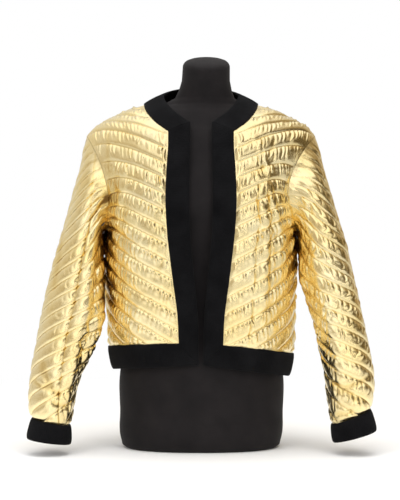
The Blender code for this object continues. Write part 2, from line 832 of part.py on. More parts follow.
def make_hem_corner(name, hand, mirrored):
    shares = np.arange(HEM_SEAM_COLUMN + 1) / (FRONT_COLUMNS - 1)
    sewn, free, ways = hem_line(hand, shares)
    free[0] = track(FRONT_FREE, np.array([0.0]))[0]
    ways[0] = seam_way(hand, np.array([0.0]))[0]
    for line in (sewn, free):
        end_apart(line, 0, SEAM_GAP / 2)
        end_apart(line, -1, SEAM_GAP / 2)
    band(name, sewn, free, ways, mirrored=mirrored)


def make_hem_band(name):
    front = hem_line("left", np.arange(HEM_SEAM_COLUMN, FRONT_COLUMNS) / (FRONT_COLUMNS - 1))
    back = hem_line("back", np.arange(BACK_COLUMNS - 2, -1, -1) / (BACK_COLUMNS - 1))
    sewn, free, ways = (np.concatenate(pair) for pair in zip(front, back))
    for line in (sewn, free):
        end_apart(line, 0, SEAM_GAP / 2)
        line[-1, 0] = 0
    ways[-1] = np.array([0, 1, 0])
    band(name, *both_halves(sewn, free, ways))


def make_cuff(name, hand, mirrored):
    degrees = np.arange(0, 360, ARMHOLE_STEP)
    turn = np.radians(degrees)
    sewn = sleeve_point(SLEEVES[hand], hand)(degrees, np.ones(len(degrees)))
    outer_x, outer_z, inner_x, inner_z, mid_y, half_y = CUFF_END[hand]
    x = (outer_x + inner_x) / 2 + (outer_x - inner_x) / 2 * np.cos(turn)
    z = (outer_z + inner_z) / 2 + (outer_z - inner_z) / 2 * np.cos(turn)
    free = np.stack([x, mid_y - half_y * np.sin(turn), z], axis=-1) * MM
    ways = unit(sewn - sewn.mean(axis=0))
    band(name, set_off(sewn, free), free, ways, closed=True, mirrored=mirrored, tilted=False)


def make_form(name):
    """The dress form: stacked rings, then the sloping cap of the neck."""
    turn = np.linspace(0, 2 * math.pi, FORM_SIDES, endpoint=False)
    rings = []
    for row in FORM_RINGS:
        ring = dict(zip(FORM_COLUMNS, row))
        depth = np.where(np.sin(turn) < 0, ring["front"], ring["back"])
        wide = min(ring["pinch"], 1)
        x = ring["mid_x"] + ring["half"] * np.sign(np.cos(turn)) * np.abs(np.cos(turn)) ** wide
        bulge = np.abs(np.sin(turn)) ** ring["pinch"]
        y = ring["mid_y"] + depth * np.sign(np.sin(turn)) * bulge
        rings.append(np.stack([x, y, np.full_like(x, ring["z"])], axis=-1))
    slope = math.radians(CAP_TILT)
    for share, rise in CAP_EDGE:
        x = CAP_RADIUS[0] * share * np.cos(turn)
        y = CAP_RADIUS[1] * share * np.sin(turn)
        ring = np.stack(
            [
                CAP_MID[0] + x,
                CAP_MID[1] + y * math.cos(slope) - rise * math.sin(slope),
                CAP_MID[2] + y * math.sin(slope) + rise * math.cos(slope),
            ],
            axis=-1,
        )
        rings.append(ring)
    points = np.concatenate(rings) * MM
    faces = []
    for i in range(len(rings) - 1):
        for k in range(FORM_SIDES):
            m = (k + 1) % FORM_SIDES
            low, high = i * FORM_SIDES, (i + 1) * FORM_SIDES
            faces.append((low + k, low + m, high + m, high + k))
    faces.append(tuple(range(FORM_SIDES))[::-1])
    faces.append(tuple((len(rings) - 1) * FORM_SIDES + k for k in range(FORM_SIDES)))
    new_object(name, points, faces, JERSEY, tilted=False)


for leftover in list(bpy.data.objects):
    bpy.data.objects.remove(leftover, do_unlink=True)
COLLECTION = bpy.data.collections.new("quilted_jacket_on_form")
bpy.context.scene.collection.children.link(COLLECTION)

for HAND, MIRRORED in (("right", True), ("left", False)):
    make_front("front_" + HAND, HAND, MIRRORED)
    make_sleeve("sleeve_" + HAND, HAND, MIRRORED)
    make_front_band("front_band_" + HAND, HAND, MIRRORED)
    make_hem_corner("hem_corner_" + HAND, HAND, MIRRORED)
    make_cuff("cuff_" + HAND, HAND, MIRRORED)
make_back("back")
make_neck_band("neck_band")
make_hem_band("hem_band")
make_form("dress_form")
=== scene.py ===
import math

import bpy
import numpy as np
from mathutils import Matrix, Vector


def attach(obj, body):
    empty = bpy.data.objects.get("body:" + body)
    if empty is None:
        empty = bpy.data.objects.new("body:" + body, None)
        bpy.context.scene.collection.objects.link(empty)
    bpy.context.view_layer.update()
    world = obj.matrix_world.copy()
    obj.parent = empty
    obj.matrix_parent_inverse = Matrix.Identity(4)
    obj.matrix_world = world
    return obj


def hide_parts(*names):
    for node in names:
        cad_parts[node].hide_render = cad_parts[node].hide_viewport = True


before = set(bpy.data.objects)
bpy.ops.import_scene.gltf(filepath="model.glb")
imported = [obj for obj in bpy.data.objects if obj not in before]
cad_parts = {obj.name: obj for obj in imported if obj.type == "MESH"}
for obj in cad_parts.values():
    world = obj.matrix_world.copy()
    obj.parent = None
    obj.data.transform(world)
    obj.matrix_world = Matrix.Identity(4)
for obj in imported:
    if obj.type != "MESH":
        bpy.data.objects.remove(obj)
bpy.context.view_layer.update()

# Quilted leather jacket with rib-knit bands, on a dress form. Metres, +Z up, the front faces -Y.
# Tables are in mm for the wearer's left half at +X, and are mirrored for the other half.

mm = 0.001
mirror = np.array([-1, 1, 1])

clothSizes = {
    "cloth": 2.4 * mm,      # leather, wadding and backing where the stitching holds them
    "puff": 4.6 * mm,       # how far a channel rises between two rows of stitching
    "edgePuff": 0.25,       # share of the puff left at a panel's edge
    "seamQuiet": 0.25,      # and beside an armhole seam or the neckline
    "seamFade": 32 * mm,    # the puff dies away this near an armhole seam
    "neckFade": 30 * mm,
    "bodyPitch": 32 * mm,   # between rows of stitching, up the body
    "bodySlant": 0.60,
    "sleevePitch": 30 * mm,
    "sleeveSlant": 0.72,
    "edgeRamp": 9 * mm,     # the quilting flattens this near a panel's edge
    "thinnest": 0.6 * mm,   # the least that a crease leaves of the wall
    "swell": 4.6 * mm,      # the wall fills out by this beside the side seam, between two heights in mm
    "swellFrom": {"right": 262, "left": 356}, "swellTo": 452,
    "rowsClear": 0.18,      # no stitching nearer a panel's end than this share of a channel
    "stitchLift": 0.15 * mm,
    "sideEnds": (0.0015, 0.9985),       # the leather stops just short of its seams
    "topEnd": 0.9993,
    "hemTilt": 0.04,        # the hem hangs lower on the wearer's left
    "tiltFrom": 438, "tiltOver": 220,
}

armholeSizes = {
    "tip": (234, 2, 643),
    "under": (192, 2, 441),
    "depth": 72,
    "dip": {"right": 22, "left": 36, "back": 26},
    "underAt": 0.42,        # the underarm's station on the body's tables
    # the way both walls stand up at the seam: degrees, x, share of y, z
    "way": [(0, 0.95, 0.0, 0.31), (45, 0.60, 0.72, 0.34), (90, 0.35, 0.93, 0.04),
            (135, 0.25, 0.72, -0.62), (180, 0.20, 0.0, -0.98)],
}

# at, x, y, z up each edge, then round the neckline
bodyLines = {
    "frontEdge": [
        (0.00, 44, -122, 221), (0.12, 47, -125, 280), (0.25, 56, -129, 348), (0.42, 67, -132, 441),
        (0.55, 71, -130, 508), (0.67, 69, -119, 573), (0.76, 66, -105, 620), (0.80, 66, -97, 641),
        (0.81, 66, -95, 646), (0.82, 70, -92, 648.6), (0.86, 84, -81, 659), (0.92, 103, -54, 678),
        (0.965, 114, -25, 695), (1.00, 117, 2, 705)],
    "frontPull": [
        (0.00, 185, -125, 211), (0.12, 188, -130, 268), (0.25, 190, -136, 343), (0.42, 189, -140, 442),
        (0.55, 166, -141, 488), (0.67, 142, -130, 551), (0.76, 136, -113, 604), (0.81, 146, -98, 636),
        (0.86, 162, -77, 659), (0.92, 184, -46, 675), (0.965, 199, -17, 680), (1.00, 204, 2, 683)],
    "backEdge": [
        (0.00, 0, 117, 202), (0.12, 0, 116, 273), (0.25, 0, 115, 346), (0.42, 0, 118, 441),
        (0.55, 0, 123, 510), (0.67, 0, 123, 575), (0.78, 0, 113, 640), (0.86, 0, 97, 690),
        (0.90, 0, 87, 714)],
    "backNeck": [
        (0.90, 0, 87, 714), (0.92, 34, 84, 713), (0.945, 72, 70, 711), (0.975, 103, 38, 708),
        (1.00, 117, 2, 705)],
    "backPull": [
        (0.00, 185, 119, 200), (0.12, 188, 118, 273), (0.25, 190, 119, 348), (0.42, 189, 124, 442),
        (0.55, 178, 133, 492), (0.67, 160, 134, 553), (0.78, 158, 118, 630), (0.86, 164, 100, 668),
        (0.90, 172, 86, 686), (0.92, 180, 74, 688), (0.945, 190, 54, 691), (0.975, 198, 24, 682),
        (1.00, 204, 2, 683)],
    "sideSeam": [(0.00, 187, 2, 200), (0.12, 190, 2, 270), (0.25, 192, 2, 344), (0.42, 192, 2, 441)],
    "frontFree": [
        (0.00, 5, -110, 178), (0.12, 7, -113, 268), (0.25, 14, -119, 348), (0.42, 22, -124, 441),
        (0.55, 24, -122, 508), (0.67, 23, -110, 573), (0.76, 22, -95, 624), (0.81, 22, -79, 665)],
    "neckFreeFront": [
        (0.81, 22, -79, 665), (0.86, 43, -68, 680), (0.92, 63, -43, 699), (0.965, 73, -19, 714),
        (1.00, 76, 2, 726)],
    "neckFreeBack": [
        (0.90, 0, 62, 749), (0.92, 18, 60, 748), (0.945, 40, 52, 745), (0.975, 64, 30, 736),
        (1.00, 76, 2, 726)],
    "neckAt": {"right": 0.81, "left": 0.81, "back": 0.90},
}

# at, outer x and z, inner x and z, middle y, half depth, dip towards the body
sleeveRings = {
    "right": [
        (0.00, 234, 643, 192, 441, 2, 72, 1.0), (0.03, 238, 621, 202, 431, -1, 71, 0.58),
        (0.08, 243, 588, 205, 418, -6, 70, 0.20), (0.17, 258, 529, 207.4, 395, -15, 67, 0.0),
        (0.28, 277, 458, 207.2, 358, -27, 62, 0.0), (0.40, 296, 387, 207, 316, -39, 57, 0.0),
        (0.53, 315, 306, 210, 266, -53, 53, 0.0), (0.67, 329, 226, 230, 206, -67, 49, 0.0),
        (0.80, 340, 157, 250, 148, -80, 46, 0.0), (0.90, 343, 108, 261, 102, -90, 42, 0.0),
        (0.96, 340, 84, 266, 74, -95, 38, 0.0), (1.00, 334, 71, 269, 58, -98, 33, 0.0)],
    "left": [
        (0.00, 234, 643, 192, 441, 2, 72, 1.0), (0.03, 239, 621, 202, 431, -1, 71, 0.58),
        (0.08, 246, 588, 205, 418, -6, 71, 0.20), (0.17, 262, 529, 208, 395, -15, 70, 0.0),
        (0.28, 282, 458, 209, 363, -27, 68, 0.0), (0.40, 300, 387, 215, 328, -40, 65, 0.0),
        (0.53, 317, 306, 231, 274, -54, 61, 0.0), (0.67, 333, 226, 246, 206, -68, 55, 0.0),
        (0.79, 343, 167, 255, 157, -80, 49, 0.0), (0.88, 344, 128, 260, 113, -89, 44, 0.0),
        (0.95, 340, 105, 264, 82, -95, 39, 0.0), (1.00, 335, 88, 268, 61, -98, 33, 0.0)],
}


# Working out curves, noise and the cloth's form

def smooth(table, at, column):
    knots = np.array([row[0] for row in table], float)
    values = np.array([row[column] for row in table], float)
    slopes = np.gradient(values, knots)
    at = np.clip(np.asarray(at, float), knots[0], knots[-1])
    i = np.clip(np.searchsorted(knots, at, side="right") - 1, 0, len(knots) - 2)
    step = knots[i + 1] - knots[i]
    t = (at - knots[i]) / step
    return ((2 * t**3 - 3 * t**2 + 1) * values[i] + (t**3 - 2 * t**2 + t) * step * slopes[i]
            + (3 * t**2 - 2 * t**3) * values[i + 1] + (t**3 - t**2) * step * slopes[i + 1])


def track(name, at):
    return np.stack([smooth(bodyLines[name], at, c) for c in (1, 2, 3)], axis=-1) * mm


def unit(v):
    return v / np.maximum(np.linalg.norm(v, axis=-1, keepdims=True), 1e-12)


def turned(ways, other, share):
    return unit(ways * (1 - share) + other * share)


def ease(t):
    t = np.clip(t, 0, 1)
    return t * t * (3 - 2 * t)


def nearFirst(at, reach):
    return ease((reach - at) / reach)


def nearLast(at, reach):
    return ease((at - (1 - reach)) / reach)


def steadyNumber(a, b, seed):
    # a steady whole number up to 65535 for each pair of whole numbers
    n = (a * 374761393 + b * 668265263 + seed * 97463477) & 0x7FFFFFFF
    n = ((n ^ (n >> 13)) * 1274126177) & 0x7FFFFFFF
    return (n ^ (n >> 16)) & 0xFFFF


def waves(x, y, seed):
    # gradient noise, about -1 to 1, a unit apart
    x, y = np.broadcast_arrays(np.asarray(x, float), np.asarray(y, float))
    ix, iy = np.floor(x).astype(np.int64), np.floor(y).astype(np.int64)
    fx, fy = x - ix, y - iy
    u, v = ease(fx), ease(fy)
    total = np.zeros(x.shape)
    for dx in (0, 1):
        for dy in (0, 1):
            turn = steadyNumber(ix + dx, iy + dy, seed) / 32767.5 * math.pi
            dot = np.cos(turn) * (fx - dx) + np.sin(turn) * (fy - dy)
            total += dot * (u if dx else 1 - u) * (v if dy else 1 - v)
    return total * 1.5


def dipShare(turn):
    return np.sin(turn) ** 2 * (1 - 0.75 * ease((np.degrees(turn) - 100) / 70))


def armhole(degrees, side):
    turn = np.radians(np.asarray(degrees, float))
    tip, under = np.array(armholeSizes["tip"]) * mm, np.array(armholeSizes["under"]) * mm
    share = (1 + np.cos(turn)) / 2
    away = 1 if side == "back" else -1
    x = under[0] + (tip[0] - under[0]) * share - armholeSizes["dip"][side] * mm * dipShare(turn)
    y = under[1] + (tip[1] - under[1]) * share + away * armholeSizes["depth"] * mm * np.sin(turn)
    return np.stack([x, y, under[2] + (tip[2] - under[2]) * share], axis=-1)


def armholeOut(degrees, side):
    away = 1 if side == "back" else -1
    x, y, z = (smooth(armholeSizes["way"], degrees, c) for c in (1, 2, 3))
    return unit(np.stack([x, away * y, z], axis=-1))


def armholeDegrees(at):
    low = armholeSizes["underAt"]
    return 180 * (1 - np.clip((np.asarray(at, float) - low) / (1 - low), 0, 1))


def innerEdge(at, side):
    if side != "back":
        return track("frontEdge", at)
    low = (np.asarray(at) <= bodyLines["neckAt"]["back"])[..., None]
    return np.where(low, track("backEdge", at), track("backNeck", at))


def section(across, at, side):
    # a conic from the inner edge round to the side seam or the armhole
    start, corner = innerEdge(at, side), track("backPull" if side == "back" else "frontPull", at)
    low = (np.asarray(at) <= armholeSizes["underAt"])[..., None]
    end = np.where(low, track("sideSeam", at), armhole(armholeDegrees(at), side))
    a, b, c = (1 - across) ** 2, 1.6 * across * (1 - across), across**2
    return (a[..., None] * start + b[..., None] * corner + c[..., None] * end) / (a + b + c)[..., None]


def foldRise(folds, across, at, wrap=0):
    rise = np.zeros(np.broadcast(across, at).shape)
    for middle, width, low, high, height in folds:
        middle = np.interp(at, *zip(*middle)) if isinstance(middle, list) else middle
        off = across - middle
        if wrap:
            off = (off + wrap / 2) % wrap - wrap / 2
        reach = (high - low) / 4
        ends = ease((at - low) / reach) * ease((high - at) / reach)
        rise = rise + height * mm * np.exp(-((off / width) ** 2)) * ends
    return rise


def sleevePoint(hand, folds):
    table = sleeveRings[hand]

    def point(degrees, at):
        turn = np.radians(degrees)
        value = [smooth(table, at, c) for c in range(1, 8)]
        outer = np.stack([value[0], 0 * at, value[1]], axis=-1)
        inner = np.stack([value[2], 0 * at, value[3]], axis=-1)
        middle, half = (outer + inner) / 2, (outer - inner) / 2
        dips = armholeSizes["dip"]
        dip = np.where(np.sin(turn) > 0, dips[hand], dips["back"]) * value[6] * mm
        p = (middle + half * np.cos(turn)[..., None]) * mm
        p[..., 1] = (value[4] - value[5] * np.sin(turn)) * mm
        p[..., 0] -= dip * dipShare(np.where(turn > math.pi, 2 * math.pi - turn, turn))
        way = half * np.cos(turn)[..., None]
        way = unit(way + np.stack([0 * at, -value[5] * np.sin(turn), 0 * at], axis=-1))
        return p + way * foldRise(folds, degrees, at, wrap=360)[..., None]

    return point


def tiltHem(p):
    share = ease((clothSizes["tiltFrom"] * mm - p[..., 2]) / (clothSizes["tiltOver"] * mm))
    out = p.copy()
    out[..., 2] -= clothSizes["hemTilt"] * p[..., 0] * share
    return out


def placed(p, mirrored, tilted):
    p = p * mirror if mirrored else p
    return tiltHem(p) if tilted else p


def seamWay(side, at):
    # the way that a panel and its band stand up along the front edge and the neckline
    at = np.asarray(at, float)
    corner = bodyLines["neckAt"][side]
    low, zero = np.minimum(at, corner), np.zeros_like(at)
    up = section(zero, np.clip(low + 0.004, 0, 1), side) - section(zero, np.clip(low - 0.004, 0, 1), side)
    right = section(zero + 0.004, low, side) - section(zero, low, side)
    own = unit(np.cross(right, up)) * (-1 if side == "back" else 1)
    if side == "back":
        own = unit(own * np.array([0, 1, 1]))
    top = unit(np.array([0.42, 0, 0.9]))
    share = np.clip((at - corner) / (1 - corner), 0, 1)[..., None]
    return turned(own, top, share)


def nearLine(points, line, reach):
    # 0 on a line, 1 at its reach and past it
    flat = points.reshape(-1, 3)
    best = np.full(len(flat), 1e9)
    for q in line:
        best = np.minimum(best, ((flat - q) ** 2).sum(axis=1))
    return np.clip(np.sqrt(best).reshape(points.shape[:-1]) / reach, 0, 1)


def quietBySeam(points):
    turn = np.linspace(0, 180, 37)
    seam = np.concatenate([armhole(turn, side) for side in ("right", "left", "back")])
    corner = bodyLines["neckAt"]
    neck = np.concatenate([track("frontEdge", np.linspace(corner["left"], 1, 20)),
                           track("backNeck", np.linspace(corner["back"], 1, 30))])
    near = np.minimum(nearLine(points, seam, clothSizes["seamFade"]),
                      nearLine(points, neck, clothSizes["neckFade"]))
    return clothSizes["seamQuiet"] + (1 - clothSizes["seamQuiet"]) * ease(near)


# Making meshes

def zipRows(a, b, keysA, keysB, flip):
    # triangles between two rows of points whose counts differ
    i, j, faces = 0, 0, []
    while i < len(a) - 1 or j < len(b) - 1:
        if j == len(b) - 1 or (i < len(a) - 1 and keysA[i + 1] <= keysB[j + 1]):
            face = (a[i], b[j], a[i + 1])
            i += 1
        else:
            face = (a[i], b[j], b[j + 1])
            j += 1
        if len(set(face)) == 3:
            faces.append(face[::-1] if flip else face)
    return faces


def gridFaces(first, rows, columns, wrap=False, flip=False):
    i, j = np.meshgrid(np.arange(rows if wrap else rows - 1), np.arange(columns - 1), indexing="ij")
    a, b = first + i * columns + j, first + (i + 1) % rows * columns + j
    quads = np.stack([a, b, b + 1, a + 1], axis=-1).reshape(-1, 4)
    return (quads[:, ::-1] if flip else quads).tolist()


def ringFaces(count, size, closed=False):
    # quads between each ring of points and the next
    faces = []
    for i in range(count if closed else count - 1):
        a, b = i * size, (i + 1) % count * size
        for k in range(size):
            m = (k + 1) % size
            faces.append((a + k, a + m, b + m, b + k))
    return faces


def signedVolume(p, faces):
    tris = np.array([(f[0], f[k], f[k + 1]) for f in faces for k in range(1, len(f) - 1)])
    a, b, c = p[tris].transpose(1, 0, 2)
    return float((a * np.cross(b, c)).sum())


def newObject(name, data):
    made = bpy.data.objects.new(name, data)
    bpy.context.scene.collection.objects.link(made)
    return made


def meshObject(name, points, faces, materials, marks=None, slots=None, flipOnVolume=True):
    p = np.asarray(points, float)
    if flipOnVolume and signedVolume(p, faces) < 0:
        faces = [face[::-1] for face in faces]
    mesh = bpy.data.meshes.new(name)
    mesh.from_pydata(p.tolist(), [], faces)
    mesh.update()
    for key, values in (marks or {}).items():
        mesh.attributes.new(key, "FLOAT", "POINT").data.foreach_set("value", np.asarray(values, np.float32))
    for made in materials:
        mesh.materials.append(made)
    if slots is not None:
        mesh.polygons.foreach_set("material_index", np.asarray(slots, np.int32))
    mesh.shade_smooth()
    mesh.set_sharp_from_angle(angle=math.radians(72))
    return newObject(name, mesh)


# Shader groups and materials

def newGroup(name, tree, **sockets):
    # sockets: label, kind and, for an input, the value that it starts with
    group = bpy.data.node_groups.new(name, tree)
    for way, rows in sockets.items():
        for label, kind, *value in rows:
            socket = group.interface.new_socket(label, in_out=way.upper(), socket_type="NodeSocket" + kind)
            if value:
                socket.default_value = value[0]
    return group, group.nodes.new("NodeGroupInput"), group.nodes.new("NodeGroupOutput")


def addNode(tree, kind, inputs=None, **settings):
    made = tree.nodes.new(kind)
    for key, value in settings.items():
        setattr(made, key, value)
    fill(tree, made, inputs or {})
    return made


def fill(tree, made, inputs):
    for key, value in inputs.items():
        socket = made.inputs[key]
        if isinstance(value, bpy.types.NodeSocket):
            tree.links.new(value, socket)
        else:
            socket.default_value = value


def doMath(tree, operation, a, b=0.0, c=0.0, clamp=False):
    return addNode(tree, "ShaderNodeMath", {0: a, 1: b, 2: c}, operation=operation, use_clamp=clamp).outputs[0]


def newMaterial(name):
    made = bpy.data.materials.new(name)
    made.use_nodes = True
    tree = made.node_tree
    place = addNode(tree, "ShaderNodeTexCoord").outputs["Object"]
    return made, tree, tree.nodes["Principled BSDF"], place


def rampOf(tree, value, stops):
    made = addNode(tree, "ShaderNodeValToRGB", {0: value})
    ramp = made.color_ramp
    while len(ramp.elements) < len(stops):
        ramp.elements.new(0.5)
    for element, (position, color) in zip(ramp.elements, stops):
        element.position = position
        element.color = (*color, 1)
    return made.outputs["Color"]


def makeGrainGroup():
    # leather grain and fine crumple, as one height
    group, inputs, outputs = newGroup(
        "leatherGrain", "ShaderNodeTree",
        input=[("Vector", "Vector"), ("Grain Scale", "Float", 900.0), ("Crumple Scale", "Float", 120.0)],
        output=[("Height", "Float"), ("Patches", "Float")])
    vector = inputs.outputs["Vector"]
    cells = addNode(group, "ShaderNodeTexVoronoi", {"Vector": vector, "Scale": inputs.outputs["Grain Scale"]},
                    feature="DISTANCE_TO_EDGE")
    crumple = addNode(group, "ShaderNodeTexNoise", {
        "Vector": vector, "Scale": inputs.outputs["Crumple Scale"], "Detail": 5.0, "Roughness": 0.62,
        "Distortion": 0.9})
    patches = addNode(group, "ShaderNodeTexNoise", {"Vector": vector, "Scale": 14.0, "Detail": 3.0})
    grain = doMath(group, "MULTIPLY", cells.outputs["Distance"], 0.5)
    height = doMath(group, "ADD", grain, crumple.outputs["Fac"])
    fill(group, outputs, {"Height": height, "Patches": patches.outputs["Fac"]})
    return group


leatherSettings = {
    # painted shade: the colours that the trough mark darkens the leather to, from none to the darkest
    "deep": [(0.0, (0.95, 0.75, 0.34)), (0.35, (0.90, 0.65, 0.22)), (0.62, (0.70, 0.46, 0.11)),
             (1.0, (0.20, 0.10, 0.02))],
    "tone": [(0.32, (0.95, 0.75, 0.35)), (0.68, (0.98, 0.84, 0.50))],
    "roughness": (0.14, 0.17),      # how much the patches add, and the least
    "bumpDistance": 0.0010, "bumpStrength": 0.22,
}


def makeLeather():
    made, tree, shader, place = newMaterial("goldLeather")
    grain = addNode(tree, "ShaderNodeGroup", {"Vector": place}, node_tree=makeGrainGroup())
    # painted shade: the trough mark darkens the leather towards brown in stitch troughs, creases and where the sleeve
    # lies against the body
    troughShade = addNode(tree, "ShaderNodeAttribute", attribute_name="troughShade").outputs["Fac"]
    deep = rampOf(tree, troughShade, leatherSettings["deep"])
    tone = rampOf(tree, grain.outputs["Patches"], leatherSettings["tone"])
    mixed = addNode(tree, "ShaderNodeMix", {"Factor": troughShade, 6: tone, 7: deep}, data_type="RGBA")
    bump = addNode(tree, "ShaderNodeBump", {
        "Height": grain.outputs["Height"], "Distance": leatherSettings["bumpDistance"],
        "Strength": leatherSettings["bumpStrength"]})
    fill(tree, shader, {
        "Base Color": mixed.outputs[2], "Normal": bump.outputs["Normal"], "Metallic": 1.0,
        "Roughness": doMath(tree, "MULTIPLY_ADD", grain.outputs["Patches"], *leatherSettings["roughness"]),
        "Coat Weight": 0.15, "Coat Roughness": 0.25})
    return made


def makeFabric(name, color, lighter, scale, distance, roughness, sheen, shine=0.25):
    made, tree, shader, place = newMaterial(name)
    weave = addNode(tree, "ShaderNodeTexNoise", {"Vector": place, "Scale": scale, "Detail": 3.0})
    cloudy = addNode(tree, "ShaderNodeTexNoise", {"Vector": place, "Scale": 22.0, "Detail": 4.0})
    shade = doMath(tree, "MULTIPLY", weave.outputs["Fac"], cloudy.outputs["Fac"])
    bump = addNode(tree, "ShaderNodeBump", {"Height": weave.outputs["Fac"], "Distance": distance, "Strength": 0.6})
    fill(tree, shader, {
        "Base Color": rampOf(tree, shade, [(0.12, color), (0.45, lighter)]), "Normal": bump.outputs["Normal"],
        "Roughness": roughness, "Sheen Weight": sheen, "Sheen Roughness": 0.5, "Specular IOR Level": shine})
    return made


leather = makeLeather()
backing = makeFabric("wovenBacking", (0.020, 0.016, 0.012), (0.05, 0.04, 0.03), 900.0, 0.0006, 0.9, 0.2)
ribKnit = makeFabric("ribKnit", (0.0025, 0.0025, 0.003), (0.0085, 0.0085, 0.0095), 1100.0, 0.0009, 0.9, 0.02, 0.08)
jersey = makeFabric("jersey", (0.008, 0.007, 0.0075), (0.017, 0.0145, 0.015), 1500.0, 0.0004, 0.75, 0.03, 0.14)
thread = makeFabric("goldThread", (0.42, 0.26, 0.07), (0.62, 0.42, 0.15), 2500.0, 0.0002, 0.5, 0.1)
print("materials made")


# Quilted panels

def chance(a, b, seed):
    return steadyNumber(a.astype(np.int64), b.astype(np.int64), seed) / 65535


def puckers(width, length, phase, settings, seed):
    # short creases that hang from each row of stitching like teeth, in metres, and the painted shade in the valleys
    # between them
    channel = np.floor(phase)
    part = phase - channel
    sway = settings["sway"] * waves(width / settings["swaySpan"], channel * 3.3 + 0.8 * part, seed + 5)
    bow = settings["bow"] * (2 * part - 1) ** 2
    run = width / settings["spacing"] + channel * 17.31 + settings["lean"] * part + bow + sway
    one = np.floor(run)
    ridge = np.abs(np.sin(math.pi * run)) ** 0.8
    strength = 0.25 + 0.75 * chance(one, channel, seed)
    reach = 0.50 + 0.48 * chance(one, channel, seed + 2)
    hang = ease((part - (1 - reach)) / 0.40) * ease((1 - part) / 0.10)
    (patchWide, patchLong), (dentWide, dentLong) = settings["patchSpan"], settings["dentSpan"]
    patch = np.clip(0.95 + 0.45 * waves(width / patchWide, length / patchLong, seed + 3), 0.45, 1.3)
    rise = settings["tooth"] * (ridge * strength - 0.2) * hang * patch
    broad = waves(width / settings["broadSpan"], 0.7 * part + channel * 3.1, seed + 1)
    rise = rise + settings["broad"] * broad * hang
    dents = settings["dents"] * waves(width / dentWide, length / dentLong, seed + 7)
    valleyShade = np.clip(1 - ridge / 0.45, 0, 1) * hang * patch
    return (rise + dents) * mm, np.clip(valleyShade, 0, 1)


def fromLine(p, x0, z0, x1, z1):
    # as seen from the front: the line, how far along it each point is, and the point's offset from it
    start, along = np.array([x0, z0]) * mm, np.array([x1, z1]) * mm - np.array([x0, z0]) * mm
    flat = p[..., [0, 2]] - start
    t = (flat @ along) / float(along @ along)
    return along, t, flat - np.clip(t, 0, 1)[..., None] * along


def creaseRise(p, ways, creases):
    # listed creases, seen from the front or the back
    rise = np.zeros(p.shape[:-1])
    for face, rows in creases.items():
        shown = ease(ways[..., 1] * (-1 if face == "front" else 1) / 0.35)
        for *ends, reach, height in rows:
            along, t, off = fromLine(p, *ends)
            bend = 1.6 * mm * np.sin(t * 9 + ends[0])
            side = (off[..., 0] * along[1] - off[..., 1] * along[0]) / np.linalg.norm(along) + bend
            far = np.where((t < 0) | (t > 1), np.linalg.norm(off, axis=-1), np.abs(side))
            fade = ease(t / 0.18) * ease((1 - t) / 0.18)
            rise += height * mm * np.exp(-((far / (reach * mm)) ** 2)) * fade * shown
    return rise


def shadeAt(p, shades):
    # painted shade and dark painted reflection where nothing bright is mirrored, as where a sleeve lies against the
    # body: from x and z, to x and z, reach, amount
    dark = np.zeros(p.shape[:-1])
    for *ends, reach, amount in shades:
        far = np.linalg.norm(fromLine(p, *ends)[2], axis=-1)
        far = far + 1.5 * mm * waves(p[..., 2] / (9 * mm), 0.5, int(ends[0]))
        dark = dark + amount * np.exp(-((far / (reach * mm)) ** 2))
    return dark


def creased(height, troughShade, p, ways, edge, creases, shades=()):
    # with the creases, and painted shade in them and where nothing bright is mirrored
    rise = creaseRise(p, ways, creases) * edge
    dark = troughShade + np.clip(-rise / (4 * mm), 0, 0.5) + shadeAt(p, shades)
    return np.maximum(height + rise, clothSizes["thinnest"]), np.clip(dark, 0, 1)


def layOut(point, across, at, closed):
    # a panel's inside, the way that the wall stands on it, and the distances round it and up it
    grid = np.meshgrid(across, at, indexing="ij")
    p = point(*grid)
    along, up = np.gradient(p, axis=0), np.gradient(p, axis=1)
    if closed:
        along[0] = along[-1] = (p[1] - p[-2]) / 2
    ways = unit(np.cross(along, up))
    width, length = np.zeros(p.shape[:2]), np.zeros(p.shape[:2])
    width[1:] = np.cumsum(np.linalg.norm(np.diff(p, axis=0), axis=-1), axis=0)
    steps = np.diff(p, axis=1)
    steps = steps if closed else steps[..., 1:]
    length[:, 1:] = np.cumsum(np.linalg.norm(steps, axis=-1), axis=1)
    return p, ways, width, length


def quiltHeight(phase, width, length, quiet, edge, settings, seed):
    # how far the outside stands from the inside, and the painted shade in its stitch troughs and pucker valleys
    part = phase - np.floor(phase)
    skewed = part ** settings["sag"]
    profile = 1 - np.abs(2 * skewed - 1) ** settings["roundness"]
    uneven = 1 + settings["uneven"] * waves(np.floor(phase) * 3.7, width / settings["unevenSpan"], seed + 9)
    rise, valleyShade = puckers(width, length, phase, settings, seed)
    rise, valleyShade = rise * settings.get("calm", 1), valleyShade * settings.get("calm", 1)
    full = settings["fullness"] * clothSizes["puff"] * profile * uneven * quiet
    height = clothSizes["cloth"] + (full + rise * (0.55 + 0.45 * quiet)) * edge
    height = height + clothSizes["puff"] * clothSizes["edgePuff"] * (1 - edge)
    # painted shade: darker in the stitch troughs and between the puckers
    troughShade = np.clip(1 - profile / 0.5, 0, 1) ** 1.3
    dark = np.clip((0.55 * troughShade + 0.30 * valleyShade) * edge, 0, 0.62)
    return np.maximum(height, settings["thinnest"]), dark


def phaseOf(part, length, width):
    # the rows of stitching passed on the way up a panel
    return (length - clothSizes[part + "Slant"] * width) / clothSizes[part + "Pitch"]


def edgeShare(length, *sides):
    # 0 at a panel's edge, 1 where the quilting has its full height
    near = np.minimum(length, length[:, -1:] - length)
    for side in sides:
        near = np.minimum(near, side)
    return ease(near / clothSizes["edgeRamp"])


